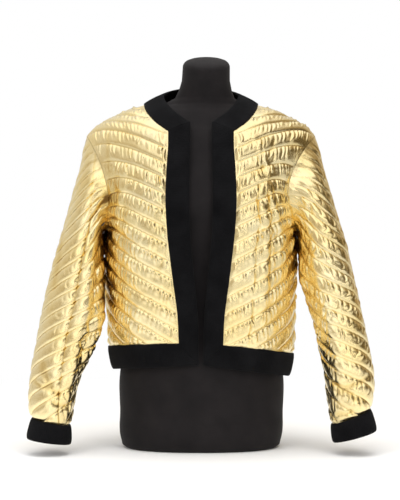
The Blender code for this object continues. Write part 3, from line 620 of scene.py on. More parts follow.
def quiltLines(phase, surface, wallWays, breakAt=None):
    # each row of stitching as a line of points just clear of the outside
    lines, clear = [], clothSizes["rowsClear"]
    for k in range(int(math.floor(phase.min())), int(math.ceil(phase.max())) + 1):
        run = []
        for c in range(len(phase)):
            inside = phase[c][0] + clear < k < phase[c][-1] - clear
            if inside:
                i = int(np.searchsorted(phase[c], k)) - 1
                t = (k - phase[c][i]) / max(phase[c][i + 1] - phase[c][i], 1e-9)
                run.append(surface[c, i] * (1 - t) + surface[c, i + 1] * t + wallWays[c, i] * clothSizes["stitchLift"])
            if (not inside or c == breakAt or c == len(phase) - 1) and run:
                if len(run) > 4:
                    lines.append(np.array(run))
                run = []
    return lines


def panelParts(p, ways, height, closed, insideStep, openRows=0):
    # an outside in full detail over a plain inside, with rims that close the wall
    count = p.shape[0] - 1 if closed else p.shape[0]
    rows = p.shape[1]
    outer = (p + ways * height[..., None])[:count]
    picks = list(range(0, count, insideStep[0]))
    if not closed and picks[-1] != count - 1:
        picks.append(count - 1)
    rowPicks = sorted(set(range(0, rows, insideStep[1])) | {openRows, rows - 1})
    inner = p[np.ix_(picks, rowPicks)]
    points = np.concatenate([outer.reshape(-1, 3), inner.reshape(-1, 3)])
    first = count * rows
    faces = gridFaces(0, count, rows, wrap=closed)
    outsideCount = len(faces)
    insideFaces = gridFaces(first, len(picks), len(rowPicks), wrap=closed, flip=True)
    rims = []
    outerKeys, innerKeys = list(range(count)), list(picks)
    if closed:
        outerKeys, innerKeys = outerKeys + [count], innerKeys + [count]
    for row, innerRow, flip in ((0, 0, True), (rows - 1, len(rowPicks) - 1, False)):
        a = [(k % count) * rows + row for k in outerKeys]
        b = [first + (k % len(picks)) * len(rowPicks) + innerRow for k in range(len(innerKeys))]
        rims += zipRows(a, b, outerKeys, innerKeys, flip)
    if not closed:
        for column, innerColumn, flip in ((0, 0, False), (count - 1, len(picks) - 1, True)):
            low = openRows if column == 0 else 0
            a = [(k, column * rows + k) for k in range(low, rows)]
            b = [(r, first + innerColumn * len(rowPicks) + k) for k, r in enumerate(rowPicks) if r >= low]
            rims += zipRows([n for _, n in a], [n for _, n in b], [k for k, _ in a], [k for k, _ in b], flip)
    slots = [0] * outsideCount + [1] * len(insideFaces) + [0] * len(rims)
    return points, faces + insideFaces + rims, slots


def panelMesh(name, p, ways, height, troughShade, closed, mirrored, tilted, insideStep):
    points, faces, slots = panelParts(p, ways, height, closed, insideStep)
    # painted shade, kept on the mesh for the leather's colour
    marks = np.zeros(len(points))
    marks[:troughShade.size if not closed else troughShade[:-1].size] = (troughShade[:-1] if closed else troughShade).reshape(-1)
    return meshObject(name, placed(points, mirrored, tilted), faces, [leather, backing], {"troughShade": marks}, slots)


panelSettings = {
    "spacing": 8.8 * mm, "lean": 0.10, "bow": 0.20, "sway": 0.55, "tooth": 3.6, "broad": 1.0, "dents": 1.5,
    "roundness": 3.6, "fullness": 0.74, "sag": 0.90, "uneven": 0.20, "thinnest": 0.9 * mm,
    # how far apart the swellings of each kind of noise are
    "swaySpan": 17 * mm, "broadSpan": 21 * mm, "unevenSpan": 70 * mm,
    "patchSpan": (55 * mm, 70 * mm), "dentSpan": (38 * mm, 46 * mm),
}

frontSettings = {
    "columns": 144, "rows": 330,
    "folds": {
        "right": [(0.66, 0.07, 0.30, 0.78, 2.5)],
        "left": [(0.34, 0.05, 0.05, 0.66, 4.5), (0.52, 0.05, 0.22, 0.72, 4.0)],
    },
    # painted shade where the sleeve lies against the body: from x and z, to x and z, reach, amount
    "shades": {
        "right": [(184, 515, 187, 441, 9, 0.50), (189, 441, 197, 300, 8, 0.95), (187, 640, 184, 515, 6, 0.34)],
        "left": [(180, 545, 184, 440, 4.5, 0.35), (189, 445, 194, 372, 5, 0.85)],
    },
    # from x and z, to x and z, reach, rise, in mm
    "creases": {
        "right": {"front": [
            (172, 590, 178, 300, 9, -2.2), (150, 560, 160, 260, 7, -1.0), (120, 600, 178, 470, 8, 1.2),
            (84, 640, 150, 560, 9, 1.0), (60, 420, 100, 340, 7, -1.0), (110, 330, 140, 240, 8, 1.0)]},
        "left": {"front": [
            (113, 548, 114, 469, 2.2, -2.0), (114, 470, 105, 319, 2.2, -2.2), (105, 322, 94, 206, 2.2, -2.0),
            (135, 590, 137, 310, 3.0, -2.2), (100, 640, 140, 560, 6, 1.6), (150, 640, 120, 560, 5, -1.6),
            (160, 600, 176, 500, 8, 1.8), (128, 620, 132, 520, 4, 1.6), (165, 480, 172, 240, 8, 1.2),
            (150, 600, 110, 560, 4, -1.4)]},
    },
}


def makeFront(hand, mirrored, seed):
    s = frontSettings

    def point(across, at):
        p = section(across, at, hand)
        p[..., 1] -= foldRise(s["folds"][hand], across, at)
        return p

    across = np.linspace(*clothSizes["sideEnds"], s["columns"])
    at = np.linspace(0, clothSizes["topEnd"], s["rows"])
    p, ways, width, length = layOut(point, across, at, False)
    widthHere = width + p[:1, :, 0]
    phase = phaseOf("body", length, widthHere)
    ways = edgeWays(ways, across, at, hand)
    edge = edgeShare(length, width, width[-1:] - width)
    height, troughShade = quiltHeight(phase, widthHere, length, quietBySeam(p), edge, panelSettings, seed)
    height, troughShade = creased(height, troughShade, p, ways, edge, s["creases"][hand], s["shades"][hand])
    height = height + sideSwell(p, across, hand)
    made = panelMesh(hand + "FrontLeather", p, ways, height, troughShade, False, mirrored, True, (12, 20))
    return made, finishLines(quiltLines(phase, p + ways * height[..., None], ways), mirrored, True)


def sideSwell(p, across, hand):
    near, z = ease((across - 0.90) / 0.09)[:, None], p[..., 2]
    low, high = clothSizes["swellFrom"][hand] * mm, clothSizes["swellTo"] * mm
    return clothSizes["swell"] * near * ease((z - low) / (40 * mm)) * ease((high - z) / (30 * mm))


# shares of the panel within which its wall turns to stand as its neighbour's does
turnReach = {"outer": 0.10, "inner": 0.08, "hem": 0.03, "top": 0.015, "sleeveTop": 0.05, "cuff": 0.03}


def edgeWays(ways, across, at, side):
    if side == "back":
        ways = -ways
    turn = np.clip((at - armholeSizes["underAt"] + 0.02) / 0.02, 0, 1)[:, None]
    outer = turned(np.array([1.0, 0, 0]), armholeOut(armholeDegrees(at), side), turn)
    inner = seamWay(side, at)
    nearOuter = nearLast(across, turnReach["outer"])[:, None, None]
    nearInner = nearFirst(across, turnReach["inner"])[:, None, None]
    nearHem = nearFirst(at, turnReach["hem"])[None, :, None]
    nearTop = nearLast(at, turnReach["top"])[None, :, None]
    ways = turned(ways, unit(ways * np.array([1, 1, 0])), nearHem)
    ways = turned(turned(ways, outer[None], nearOuter), inner[None], nearInner)
    return turned(ways, unit(ways * np.array([1, 0, 1])), nearTop)


def finishLines(lines, mirrored, tilted):
    return [placed(line, mirrored, tilted) for line in lines]


backSettings = {
    "columns": 108, "rows": 320, "neckRows": 30, "halvesAgree": 25 * mm, "creaseShift": 20 * mm,
    "creases": {"back": [
        (40, 560, 48, 250, 7, -1.4), (120, 600, 150, 300, 8, -1.6), (90, 620, 60, 420, 6, 1.4),
        (150, 560, 172, 260, 8, 1.4), (20, 640, 110, 610, 6, 1.0), (60, 300, 75, 215, 6, -1.2)]},
}


def makeBack(seed):
    s = backSettings
    neckAt = bodyLines["neckAt"]["back"]
    across = np.linspace(0.0, clothSizes["sideEnds"][1], s["columns"])
    upTo = np.linspace(0, neckAt, s["rows"] - s["neckRows"])
    at = np.concatenate([upTo, np.linspace(neckAt, clothSizes["topEnd"], s["neckRows"] + 1)[1:]])
    openRows = s["rows"] - s["neckRows"] - 1
    p, ways, width, length = layOut(lambda u, v: section(u, v, "back"), across, at, False)
    widthHere = width + p[:1, :, 0]
    phase = phaseOf("body", length, widthHere)
    ways = edgeWays(ways, across, at, "back")
    ways[0, :openRows + 1, 0] = 0
    ways = unit(ways)
    edge = edgeShare(length, np.where((at <= neckAt)[None, :], 1.0, width), width[-1:] - width)
    quiet = quietBySeam(p)
    height, troughShade = quiltHeight(phase, widthHere, length, quiet, edge, panelSettings, seed)
    # the same quilting with its painted trough shade, for the other half
    other, otherTroughShade = quiltHeight(phase, widthHere, length, quiet, edge, panelSettings, seed + 40)
    away = ease(widthHere / s["halvesAgree"])
    other, otherTroughShade = height + (other - height) * away, troughShade + (otherTroughShade - troughShade) * away
    parts, lines = [], []
    for side, (tall, dark) in enumerate(((height, troughShade), (other, otherTroughShade))):
        moved = p + np.array([s["creaseShift"] * side, 0, 0])
        tall, dark = creased(tall, dark, moved, ways, edge * away, s["creases"])
        tall = tall + sideSwell(p, across, "right" if side else "left")
        parts.append((*panelParts(p, ways, tall, False, (10, 20), openRows), dark))
        lines += finishLines(quiltLines(phase, p + ways * tall[..., None], ways), side == 1, True)
    points, faces, slots, dark = parts[0]
    middle = np.abs(points[:, 0]) < 1e-7
    extra = np.flatnonzero(~middle)
    same = np.where(middle, np.arange(len(points)), 0)
    same[extra] = len(points) + np.arange(len(extra))
    whole = np.concatenate([points, parts[1][0][extra] * mirror])
    faces = faces + [tuple(int(same[k]) for k in face)[::-1] for face in parts[1][1]]
    marks = np.zeros((2, len(points)))
    marks[0, :dark.size], marks[1, :dark.size] = dark.reshape(-1), parts[1][3].reshape(-1)
    marks = np.concatenate([marks[0], marks[1][extra]])
    slots = slots + parts[1][2]
    return meshObject("backLeather", tiltHem(whole), faces, [leather, backing], {"troughShade": marks}, slots), lines


# the long fold down the front of the right sleeve: at, degrees from the outside
frontFold = [(0.00, 106), (0.12, 101), (0.28, 98), (0.37, 96), (0.48, 96), (0.62, 95), (0.78, 108), (1.00, 120)]

sleeveSettings = {
    "columns": 300, "rows": 300,
    "calmUpTo": {"right": 116, "left": 8},      # the outer face is smoother up to this many degrees
    "valleyShade": (0.9, 3.0),       # how much painted shade the middle of the long fold gets, and its reach in degrees
    "puckers": {"lean": -1.5, "bow": 0.40, "spacing": 9.4 * mm, "tooth": 3.2},
    # painted shade where the sleeve lies against the body, and thin painted shade lines along the long fold
    "shades": {
        "right": [(190, 515, 195, 441, 12, 0.62), (195, 441, 203, 300, 9, 0.95), (196, 600, 192, 515, 8, 0.36),
                  (213, 602, 227, 471, 2.2, 0.45), (227, 471, 244, 386, 2.2, 0.45), (244, 386, 264, 276, 2.2, 0.40)],
        "left": [(199, 460, 205, 375, 5, 0.80)],
    },
    "folds": {
        "right": [(frontFold, 5, -0.10, 1.00, -3.4), ([(a, d + 22) for a, d in frontFold], 13, -0.10, 1.00, 7.5),
                  (250, 18, 0.15, 0.90, 4.0), (158, 16, 0.05, 0.84, 12.0)],
        "left": [(115, 14, 0.04, 0.98, 5.0), (40, 18, 0.20, 0.75, 3.0), (245, 18, 0.15, 0.90, 4.0),
                 (158, 16, 0.05, 0.42, 9.5)],
    },
    "creases": {
        "right": {
            "front": [(262, 560, 300, 300, 8, -2.0), (318, 190, 300, 130, 8, -2.6), (338, 150, 276, 118, 6, -2.2),
                      (300, 110, 268, 92, 5, -1.8)],
            "back": [(262, 560, 300, 300, 8, -1.8), (338, 150, 276, 118, 6, -2.2)]},
        "left": {
            "front": [(256, 600, 290, 430, 8, -2.0), (300, 420, 318, 240, 7, -1.8), (338, 160, 270, 122, 6, -2.4),
                      (262, 150, 320, 104, 6, -2.0), (306, 92, 270, 78, 5, -1.6)],
            "back": [(256, 600, 300, 330, 8, -1.8), (338, 160, 270, 122, 6, -2.2)]},
    },
}


def makeSleeve(hand, mirrored, seed):
    s = sleeveSettings
    ring = sleevePoint(hand, s["folds"][hand])
    degrees, at = np.linspace(0, 360, s["columns"] + 1), np.linspace(0, clothSizes["topEnd"], s["rows"])
    p, ways, around, length = layOut(lambda u, v: ring(u, 1 - v), degrees, at, True)
    pastUnder = (degrees > 180)[:, None]
    fromOutside = np.where(pastUnder, around - around[-1:], around)
    phase = phaseOf("sleeve", length, fromOutside)
    outward = p - p[:-1].mean(axis=0, keepdims=True)
    ways = np.where((ways * outward).sum(-1, keepdims=True) < 0, -ways, ways)
    seamSide = np.where(degrees[:, None] <= 180, armholeOut(np.minimum(degrees, 180), hand),
                        armholeOut(np.clip(360 - degrees, 0, 180), "back"))
    atSeam = nearLast(at, turnReach["sleeveTop"])[None, :, None]
    ways = turned(ways, seamSide[:, None], atSeam)
    radial = unit(p[:, :1] - p[:-1, :1].mean(axis=0, keepdims=True))
    atCuff = nearFirst(at, turnReach["cuff"])[None, :, None]
    ways = turned(ways, radial, atCuff)
    edge, quiet = edgeShare(length), quietBySeam(p)
    half = np.abs(around - around[-1:] * 0.5)       # the same on both sides of the sleeve's closing line
    faceOut = ease((degrees - s["calmUpTo"][hand]) / 18) * ease((360 - degrees) / 60)
    settings = {**panelSettings, **s["puckers"], "calm": (0.30 + 0.70 * faceOut)[:, None]}
    height, troughShade = quiltHeight(phase, half, length, quiet, edge, settings, seed)
    flipped, flippedTroughShade = quiltHeight(phase, half, length, quiet, edge, settings, seed + 20)
    blend = ease((np.sin(np.radians(degrees)) + 0.25) / 0.5)[:, None]
    height = height * blend + flipped * (1 - blend)
    troughShade = troughShade * blend + flippedTroughShade * (1 - blend)
    height, troughShade = creased(height, troughShade, p, ways, edge, s["creases"][hand], s["shades"][hand])
    # painted shade down the middle of the long fold on the right sleeve
    if hand == "right":
        off = degrees[:, None] - np.interp(1 - at, *zip(*frontFold))[None]
        troughShade = np.clip(troughShade + s["valleyShade"][0] * np.exp(-((off / s["valleyShade"][1]) ** 2)), 0, 1)
    height[-1], troughShade[-1] = height[0], troughShade[0]
    made = panelMesh(hand + "SleeveLeather", p, ways, height, troughShade, True, mirrored, False, (6, 20))
    lines = quiltLines(phase, p + ways * height[..., None], ways, breakAt=s["columns"] // 2)
    return made, finishLines(lines, mirrored, False)


# Stitches along the quilting, made by Geometry Nodes

stitchSettings = {
    "sides": 4, "rings": 2,
    "sizes": {"Spacing": 4.2 * mm, "Stitch Length": 3.0 * mm, "Thread Radius": 0.34 * mm},
}


def makeStitchTree():
    sizes = [(label, "Float", value) for label, value in stitchSettings["sizes"].items()]
    tree, inputs, outputs = newGroup(
        "quiltingStitches", "GeometryNodeTree",
        input=[("Geometry", "Geometry"), *sizes, ("Thread", "Material")], output=[("Geometry", "Geometry")])
    curve = addNode(tree, "GeometryNodeMeshToCurve", {"Mesh": inputs.outputs["Geometry"]})
    spots = addNode(tree, "GeometryNodeCurveToPoints", {
        "Curve": curve.outputs["Curve"], "Length": inputs.outputs["Spacing"]}, mode="LENGTH")
    ball = addNode(tree, "GeometryNodeMeshUVSphere", {
        "Segments": stitchSettings["sides"], "Rings": stitchSettings["rings"], "Radius": 1.0})
    half = doMath(tree, "MULTIPLY", inputs.outputs["Stitch Length"], 0.5)
    size = addNode(tree, "ShaderNodeCombineXYZ", {
        "X": inputs.outputs["Thread Radius"], "Y": inputs.outputs["Thread Radius"], "Z": half})
    spread = addNode(tree, "GeometryNodeInstanceOnPoints", {
        "Points": spots.outputs["Points"], "Instance": ball.outputs["Mesh"],
        "Rotation": spots.outputs["Rotation"], "Scale": size.outputs[0]})
    real = addNode(tree, "GeometryNodeRealizeInstances", {"Geometry": spread.outputs["Instances"]})
    painted = addNode(tree, "GeometryNodeSetMaterial", {
        "Geometry": real.outputs["Geometry"], "Material": inputs.outputs["Thread"]})
    tree.links.new(painted.outputs["Geometry"], outputs.inputs["Geometry"])
    return tree


def socketOf(tree, label):
    for item in tree.interface.items_tree:
        if item.item_type == "SOCKET" and item.in_out == "INPUT" and item.name == label:
            return item.identifier


def stitchObject(name, lines, tree):
    points, edges = [], []
    for line in lines:
        start = len(points)
        points += [tuple(map(float, q)) for q in line]
        edges += [(start + i, start + i + 1) for i in range(len(line) - 1)]
    mesh = bpy.data.meshes.new(name + "Lines")
    mesh.from_pydata(points, edges, [])
    holder = newObject(name + "Lines", mesh)
    modifier = holder.modifiers.new("stitches", "NODES")
    modifier.node_group = tree
    for label, value in {**stitchSettings["sizes"], "Thread": thread}.items():
        modifier[socketOf(tree, label)] = value
    bpy.context.view_layer.update()
    graph = bpy.context.evaluated_depsgraph_get()
    plain = bpy.data.meshes.new_from_object(holder.evaluated_get(graph))
    plain.name = name
    made = newObject(name, plain)
    bpy.data.objects.remove(holder, do_unlink=True)
    made.data.shade_smooth()
    return made


# Rib-knit bands

bandSettings = {
    "thick": 8.6 * mm, "lift": 3.4 * mm, "ribPitch": 3.4 * mm, "ribRise": 0.055, "gap": 0.55 * mm,
    "seamGap": 0.3 * mm, "hemDepth": 47 * mm, "hemCurl": 9 * mm,
    "cornerEnd": 0.3, "cornerPull": 0.1,        # shares of the front's width that the hem corner takes and turns in
    "shares": [0, 0.06, 0.16, 0.32, 0.50, 0.68, 0.82, 0.92, 0.98, 1.0],
}


def bandOutline():
    rows = []
    for s in bandSettings["shares"]:
        off = (s - 0.48) / 0.52 if s > 0.48 else (0.48 - s) / 0.56
        rows.append((s, 0.55 * math.sqrt(max(0.0, 1 - abs(off) ** 3))))
    return rows + [(s, -0.92 * r) for s, r in rows[-2::-1]]


def evenly(lines, spacing, closed=False):
    # the same lines at even steps along their middle
    if closed:
        lines = [np.concatenate([line, line[:1]]) for line in lines]
    middle = (lines[0] + lines[1]) / 2
    run = np.concatenate([[0], np.cumsum(np.linalg.norm(np.diff(middle, axis=0), axis=1))])
    count = max(int(round(run[-1] / spacing / 4)) * 4, 8)
    wanted = np.linspace(0, run[-1], count + 1)
    out = [np.stack([np.interp(wanted, run, line[:, k]) for k in range(3)], axis=-1) for line in lines]
    return [line[:-1] for line in out] if closed else out


def ribBand(name, sewn, free, ways, closed=False, mirrored=False, tilted=True, seed=1):
    b = bandSettings
    sewn, free, ways = evenly([sewn, free, ways], b["ribPitch"] / 4, closed)
    across = free - sewn
    width = np.linalg.norm(across, axis=1, keepdims=True)
    flat = across / width
    own = unit(ways - flat * (ways * flat).sum(axis=1, keepdims=True))
    steps = np.arange(len(sewn))
    rib = np.cos(steps * math.pi / 2)
    lump = waves(steps * b["ribPitch"] / 4 / 0.035, 0 * steps + 0.5, seed)
    points = []
    for s, r in bandOutline():
        swell = r * (1 + b["ribRise"] * rib * ease(s / 0.12) + 0.05 * lump)
        way = unit(ways) if s == 0 else own
        far = s + 0.004 * rib * ease((s - 0.8) / 0.2)
        points.append(sewn + across * far[:, None] + way * (b["lift"] + b["thick"] * swell)[:, None])
    size = len(points)
    grid = np.stack(points, axis=1)
    count = len(sewn)
    faces = ringFaces(count, size, closed)
    p = grid.reshape(-1, 3)
    if not closed:
        for i, flip in ((0, False), (count - 1, True)):
            middle = grid[i].mean(axis=0)
            p = np.concatenate([p, middle[None]])
            for k in range(size):
                m = (k + 1) % size
                face = (len(p) - 1, i * size + m, i * size + k)
                faces.append(face[::-1] if flip else face)
    return meshObject(name, placed(p, mirrored, tilted), faces, [ribKnit])


def trimEnd(lines, end, gap):
    for line in lines:
        run = unit(line[1] - line[0]) if end == 0 else unit(line[-2] - line[-1])
        line[end] = line[end] + run * gap


def bothHalves(lines):
    return [np.concatenate([line, line[-2::-1] * mirror]) for line in lines]


def makeFrontBand(hand, mirrored):
    at = np.linspace(0, bodyLines["neckAt"][hand], 120)
    sewn, free = innerEdge(at, hand), track("frontFree", at)
    sewn = sewn + unit(free - sewn) * bandSettings["gap"]
    for end in (0, -1):
        trimEnd((sewn, free), end, bandSettings["seamGap"] / 2)
    return ribBand(hand + "FrontBandKnit", sewn, free, seamWay(hand, at), mirrored=mirrored, seed=3)


def makeNeckBand():
    neckAt = bodyLines["neckAt"]
    front, back = np.linspace(neckAt["left"], 1, 60), np.linspace(1, neckAt["back"], 60)[1:]
    sewn = np.concatenate([innerEdge(front, "left"), track("backNeck", back)])
    free = np.concatenate([track("neckFreeFront", front), track("neckFreeBack", back)])
    ways = np.concatenate([seamWay("left", front), seamWay("back", back)])
    sewn = sewn + unit(free - sewn) * bandSettings["gap"]
    trimEnd((sewn, free), 0, bandSettings["seamGap"] / 2)
    return ribBand("neckBandKnit", *bothHalves([sewn, free, ways]), seed=5)


def hemLine(side, shares):
    zero = np.zeros_like(shares)
    sewn = section(shares, zero, side)
    left = section(np.clip(shares - 0.01, 0, 1), zero, side)
    right = section(np.clip(shares + 0.01, 0, 1), zero, side)
    ways = unit(np.cross(right - left, np.array([0, 0, 1.0]))) * (-1 if side == "back" else 1)
    free = sewn + np.array([0, 0, -bandSettings["hemDepth"]]) - ways * bandSettings["hemCurl"]
    return [sewn + np.array([0, 0, -bandSettings["seamGap"]]), free, ways]


def makeHemCorner(hand, mirrored):
    shares, near = np.linspace(0, bandSettings["cornerEnd"], 30), bandSettings["cornerPull"]
    sewn, free, ways = hemLine(hand, shares)
    target = track("frontFree", np.array([0.0]))[0]
    pull = nearFirst(shares, near)[:, None]
    straight = hemLine(hand, np.array([near]))[1][0]
    free = free * (1 - pull) + (target + (straight - target) * (shares / near)[:, None]) * pull
    ways = turned(ways, seamWay(hand, np.array([0.0]))[0], pull)
    for end in (0, -1):
        trimEnd((sewn, free), end, bandSettings["seamGap"] / 2)
    return ribBand(hand + "HemCornerKnit", sewn, free, ways, mirrored=mirrored, seed=7)


def makeHemBand():
    front = hemLine("left", np.linspace(bandSettings["cornerEnd"], 1, 80))
    back = hemLine("back", np.linspace(1, 0, 90)[1:])
    sewn, free, ways = (np.concatenate(pair) for pair in zip(front, back))
    trimEnd((sewn, free), 0, bandSettings["seamGap"] / 2)
    for line in (sewn, free):
        line[-1, 0] = 0
    ways[-1] = np.array([0, 1, 0])
    return ribBand("hemBandKnit", *bothHalves([sewn, free, ways]), seed=9)


cuffEnds = {"right": (343, 31, 266, 20, -116, 33), "left": (346, 46, 270, 24, -114, 33)}


def makeCuff(hand, mirrored):
    degrees = np.arange(0, 360, 3)
    turn = np.radians(degrees)
    sewn = sleevePoint(hand, [])(degrees.astype(float), np.ones(len(degrees)))
    outerX, outerZ, innerX, innerZ, midY, halfY = cuffEnds[hand]
    x = (outerX + innerX) / 2 + (outerX - innerX) / 2 * np.cos(turn)
    z = (outerZ + innerZ) / 2 + (outerZ - innerZ) / 2 * np.cos(turn)
    free = np.stack([x, midY - halfY * np.sin(turn), z], axis=-1) * mm
    ways = unit(sewn - sewn.mean(axis=0))
    sewn = sewn + unit(free - sewn) * bandSettings["gap"]
    return ribBand(hand + "CuffKnit", sewn, free, ways, closed=True, mirrored=mirrored, tilted=False, seed=11)


# Dress form

formSettings = {
    "sides": 120, "levels": 150, "capTilt": 19, "capMid": (11, -6, 792), "capRadius": (49, 53),
    "capEdge": [(1.00, -6), (0.995, -3), (0.97, 0), (0.93, 3), (0.88, 5), (0.76, 7.4), (0.62, 9), (0.46, 10.2),
                (0.30, 11), (0.15, 11.4), (0.04, 11.5)],
    # z, middle x and y, half width, front, back, pinch
    "rings": [
        (0, 0, 0, 154, 96, 90, 0.88), (4, 0, 0, 161, 103, 97, 0.88), (14, 0, 0, 165, 107, 101, 0.88),
        (78, 1, 0, 169, 109, 104, 0.88), (143, 1, 0, 170, 110, 106, 0.88), (213, 0, 0, 157, 102, 95, 0.88),
        (293, 0, 0, 128, 92, 77, 0.88), (363, 0, 0, 131, 96, 79, 0.88), (438, 0, 0, 148, 107, 90, 0.88),
        (503, 0, 0, 160, 118, 98, 0.88), (558, 0, 0, 165, 108, 102, 0.88), (600, 0, 0, 170, 94, 100, 0.88),
        (632, 0, 0, 173, 84, 92, 0.92), (654, 0, 0, 173, 76, 82, 1.00), (671, 1, 0, 171, 67, 72, 1.25),
        (683, 1, 0, 164, 60, 62, 1.5), (692, 1, 0, 147, 55, 54, 1.8), (699.7, 2, 0, 121, 50, 49, 2.0),
        (708, 5, -1, 88, 46, 46, 1.7), (722, 8, -2, 62, 46, 46, 1.1), (738, 9, -3, 55, 48, 47, 0.92),
        (758, 10, -4, 50, 51, 48, 0.88)],
}


def makeForm():
    f = formSettings
    turn = np.linspace(0, 2 * math.pi, f["sides"], endpoint=False)
    heights = [row[0] for row in f["rings"]]
    levels = sorted(set(np.round(np.linspace(0, 758, f["levels"]), 2)) | set(heights) | {1.2, 2.5, 7, 10})
    rings = []
    for z in levels:
        i = min(max(int(np.searchsorted(heights, z, side="right")) - 1, 0), len(heights) - 2)
        t = (z - heights[i]) / (heights[i + 1] - heights[i])
        if z > 640:
            row = [a * (1 - t) + b * t for a, b in zip(f["rings"][i], f["rings"][i + 1])]
        else:
            row = [z] + [float(smooth(f["rings"], z, c)) for c in range(1, 7)]
        _, midX, midY, half, front, back, pinch = row
        depth = np.where(np.sin(turn) < 0, front, back)
        x = midX + half * np.sign(np.cos(turn)) * np.abs(np.cos(turn)) ** min(pinch, 1)
        y = midY + depth * np.sign(np.sin(turn)) * np.abs(np.sin(turn)) ** pinch
        rings.append(np.stack([x, y, np.full_like(x, z)], axis=-1))
    slope = math.radians(f["capTilt"])
    for share, rise in f["capEdge"]:
        x, y = f["capRadius"][0] * share * np.cos(turn), f["capRadius"][1] * share * np.sin(turn)
        rings.append(np.stack([
            f["capMid"][0] + x, f["capMid"][1] + y * math.cos(slope) - rise * math.sin(slope),
            f["capMid"][2] + y * math.sin(slope) + rise * math.cos(slope)], axis=-1))
    p = np.concatenate(rings) * mm
    n, faces = f["sides"], ringFaces(len(rings), f["sides"])
    faces.append(tuple(range(n))[::-1])
    faces.append(tuple((len(rings) - 1) * n + k for k in range(n)))
    return meshObject("formJersey", p, faces, [jersey])


# Put everything together

def register(made, node):
    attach(made, "root")
    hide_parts(node)


panels = {}
rows = {}
for hand, mirrored, seed in (("right", True, 11), ("left", False, 31)):
    panels["front_" + hand], rows["front_" + hand] = makeFront(hand, mirrored, seed)
    panels["sleeve_" + hand], rows["sleeve_" + hand] = makeSleeve(hand, mirrored, seed + 60)
panels["back"], rows["back"] = makeBack(51)
print("panels made:", {node: len(made.data.polygons) for node, made in panels.items()})

for node, made in panels.items():
    register(made, node)

stitchTree = makeStitchTree()
for node, lines in rows.items():
    words = node.split("_")
    name = words[0] + "".join(word.capitalize() for word in words[1:]) + "Stitches"
    stitched = stitchObject(name, lines, stitchTree)
    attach(stitched, "root")
    print("stitches", name, len(stitched.data.polygons))

bands = {"neck_band": makeNeckBand(), "hem_band": makeHemBand()}
for hand, mirrored in (("right", True), ("left", False)):
    bands["front_band_" + hand] = makeFrontBand(hand, mirrored)
    bands["hem_corner_" + hand] = makeHemCorner(hand, mirrored)
    bands["cuff_" + hand] = makeCuff(hand, mirrored)
for node, made in bands.items():
    register(made, node)
print("bands made:", sum(len(made.data.polygons) for made in bands.values()))

form = makeForm()
register(form, "dress_form")
print("form made")


# Floor, light and camera

floorSettings = {
    "sides": 96, "radii": (1.2, 3.0, 30.0), "color": (0.92, 0.92, 0.92, 1), "roughness": 0.85,
    "glowFrom": 0.45, "glowRise": 1.1,      # past this far out it turns into the white background
    "glow": 0.75, "glowSeen": 0.25,         # its strength, and what is added where the camera sees it
}


def makeFloor():
    s = floorSettings
    n, points, faces = s["sides"], [(0.0, 0.0, 0.0)], []
    for radius in s["radii"]:
        points += [(radius * math.cos(2 * math.pi * k / n), radius * math.sin(2 * math.pi * k / n), 0.0)
                   for k in range(n)]
    for k in range(n):
        m = (k + 1) % n
        faces.append((0, 1 + k, 1 + m))
        faces += [(1 + r * n + k, 1 + (r + 1) * n + k, 1 + (r + 1) * n + m, 1 + r * n + m) for r in (0, 1)]
    made, tree, shader, place = newMaterial("paleFloor")
    fill(tree, shader, {"Base Color": s["color"], "Roughness": s["roughness"]})
    far = addNode(tree, "ShaderNodeVectorMath", {0: place}, operation="LENGTH").outputs["Value"]
    share = doMath(tree, "MULTIPLY", doMath(tree, "SUBTRACT", far, s["glowFrom"]), s["glowRise"], clamp=True)
    seen = addNode(tree, "ShaderNodeLightPath").outputs["Is Camera Ray"]
    strength = doMath(tree, "MULTIPLY_ADD", seen, s["glowSeen"], s["glow"])
    glow = addNode(tree, "ShaderNodeEmission", {"Color": (1, 1, 1, 1), "Strength": strength})
    mix = addNode(tree, "ShaderNodeMixShader", {0: share, 1: shader.outputs[0], 2: glow.outputs[0]})
    tree.links.new(mix.outputs[0], tree.nodes["Material Output"].inputs["Surface"])
    floor = meshObject("studioFloor", points, faces, [made], flipOnVolume=False)


lightSettings = {
    # name: place, aim, width, height, watts
    "lamps": {
        "overhead": ((0.0, -0.3, 2.6), (0, 0, 0.4), 1.8, 1.4, 30),
        "keyLeft": ((-1.9, -2.6, 1.9), (0, 0, 0.45), 1.1, 1.6, 16),
        "keyRight": ((1.7, -2.8, 1.5), (0, 0, 0.40), 0.9, 1.6, 20),
    },
    # brightness round the room, in degrees from the camera towards +X, at three heights
    "level": [(-180, 0.76), (-125, 0.70), (-88, 0.60), (-60, 0.50), (-35, 0.35), (-16, 0.17), (-9, 0.34), (0, 1.80),
              (46, 2.00), (60, 0.70), (76, 0.12), (100, 0.15), (120, 0.45), (150, 0.62), (180, 0.76)],
    "arms": [(-180, 0.80), (-125, 0.76), (-60, 0.64), (-32, 0.56), (-22, 1.00), (6, 1.95), (14, 0.22), (60, 0.08),
             (98, 0.10), (118, 0.42), (150, 0.60), (180, 0.80)],
    "chest": [(-180, 0.82), (-60, 0.74), (-30, 0.98), (0, 1.30), (12, 1.35),
              (44, 1.30), (64, 0.55), (100, 0.28), (122, 0.50), (180, 0.85)],
    "heights": [(0.05, 0.22), (0.40, 0.56), (0.76, 0.92)],     # sines over which one gives way to the next
    "top": 1.30,
    "warmBelow": 0.80, "warmOver": 0.50, "lessGreen": 0.28, "lessBlue": 0.68,
}


def roomRamp(tree, share, row):
    # halved, as a ramp ends at 1; the dark parts of the room are warm
    s, stops = lightSettings, []
    for turn, value in row:
        warm, half = min(max((s["warmBelow"] - value) / s["warmOver"], 0), 1), value / 2
        color = (half, half * (1 - s["lessGreen"] * warm), half * (1 - s["lessBlue"] * warm))
        stops.append(((turn + 180) / 360, color))
    return rampOf(tree, share, stops)


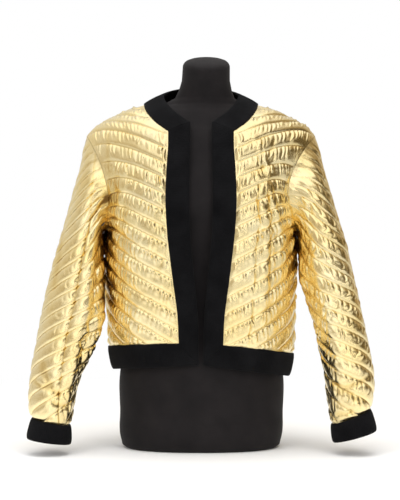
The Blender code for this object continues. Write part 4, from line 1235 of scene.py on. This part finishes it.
def makeLights():
    for name, (place, aim, width, height, watts) in lightSettings["lamps"].items():
        data = bpy.data.lights.new(name, "AREA")
        data.shape = "RECTANGLE"
        data.size, data.size_y, data.energy = width, height, watts
        lamp = newObject(name, data)
        lamp.location = place
        lamp.visible_glossy = False     # the leather mirrors the room alone
        lamp.rotation_euler = (Vector(aim) - Vector(place)).to_track_quat("-Z", "Y").to_euler()
    world = bpy.data.worlds.new("studio")
    bpy.context.scene.world = world
    world.use_nodes = True
    tree = world.node_tree
    tree.nodes.clear()
    place = addNode(tree, "ShaderNodeSeparateXYZ", {0: addNode(tree, "ShaderNodeTexCoord").outputs["Generated"]})
    back = doMath(tree, "MULTIPLY", place.outputs["Y"], -1.0)
    turn = doMath(tree, "ARCTAN2", place.outputs["X"], back)
    share = addNode(tree, "ShaderNodeMapRange", {"Value": turn, "From Min": -math.pi, "From Max": math.pi}).outputs[0]
    color, *rows = [roomRamp(tree, share, lightSettings[row]) for row in ("level", "arms", "chest")]
    top = (lightSettings["top"] / 2,) * 3 + (1,)
    for upper, (low, high) in zip((*rows, top), lightSettings["heights"]):
        part = addNode(tree, "ShaderNodeMapRange", {"Value": place.outputs["Z"], "From Min": low, "From Max": high},
                       interpolation_type="SMOOTHSTEP").outputs[0]
        color = addNode(tree, "ShaderNodeMix", {"Factor": part, 6: color, 7: upper}, data_type="RGBA").outputs[2]
    soft = addNode(tree, "ShaderNodeBackground", {"Color": color, "Strength": 2.0})
    white = addNode(tree, "ShaderNodeBackground", {"Color": (1, 1, 1, 1), "Strength": 1.0})
    seen = addNode(tree, "ShaderNodeLightPath").outputs["Is Camera Ray"]
    mix = addNode(tree, "ShaderNodeMixShader", {0: seen, 1: soft.outputs[0], 2: white.outputs[0]})
    out = tree.nodes.new("ShaderNodeOutputWorld")
    tree.links.new(mix.outputs[0], out.inputs["Surface"])


cameraSettings = {"place": (0, -3, 0.454), "lens": 103.85, "shift": (-1 / 500, -22.6 / 500)}


def makeCamera():
    data = bpy.data.cameras.new("camera")
    data.sensor_width, data.lens = 36, cameraSettings["lens"]
    data.shift_x, data.shift_y = cameraSettings["shift"]
    camera = newObject("camera", data)
    camera.location = cameraSettings["place"]
    camera.rotation_euler = (math.radians(90), 0, 0)
    bpy.context.scene.camera = camera


makeFloor()
makeLights()
makeCamera()
bpy.context.scene.view_settings.view_transform = "Standard"
print("stage made")
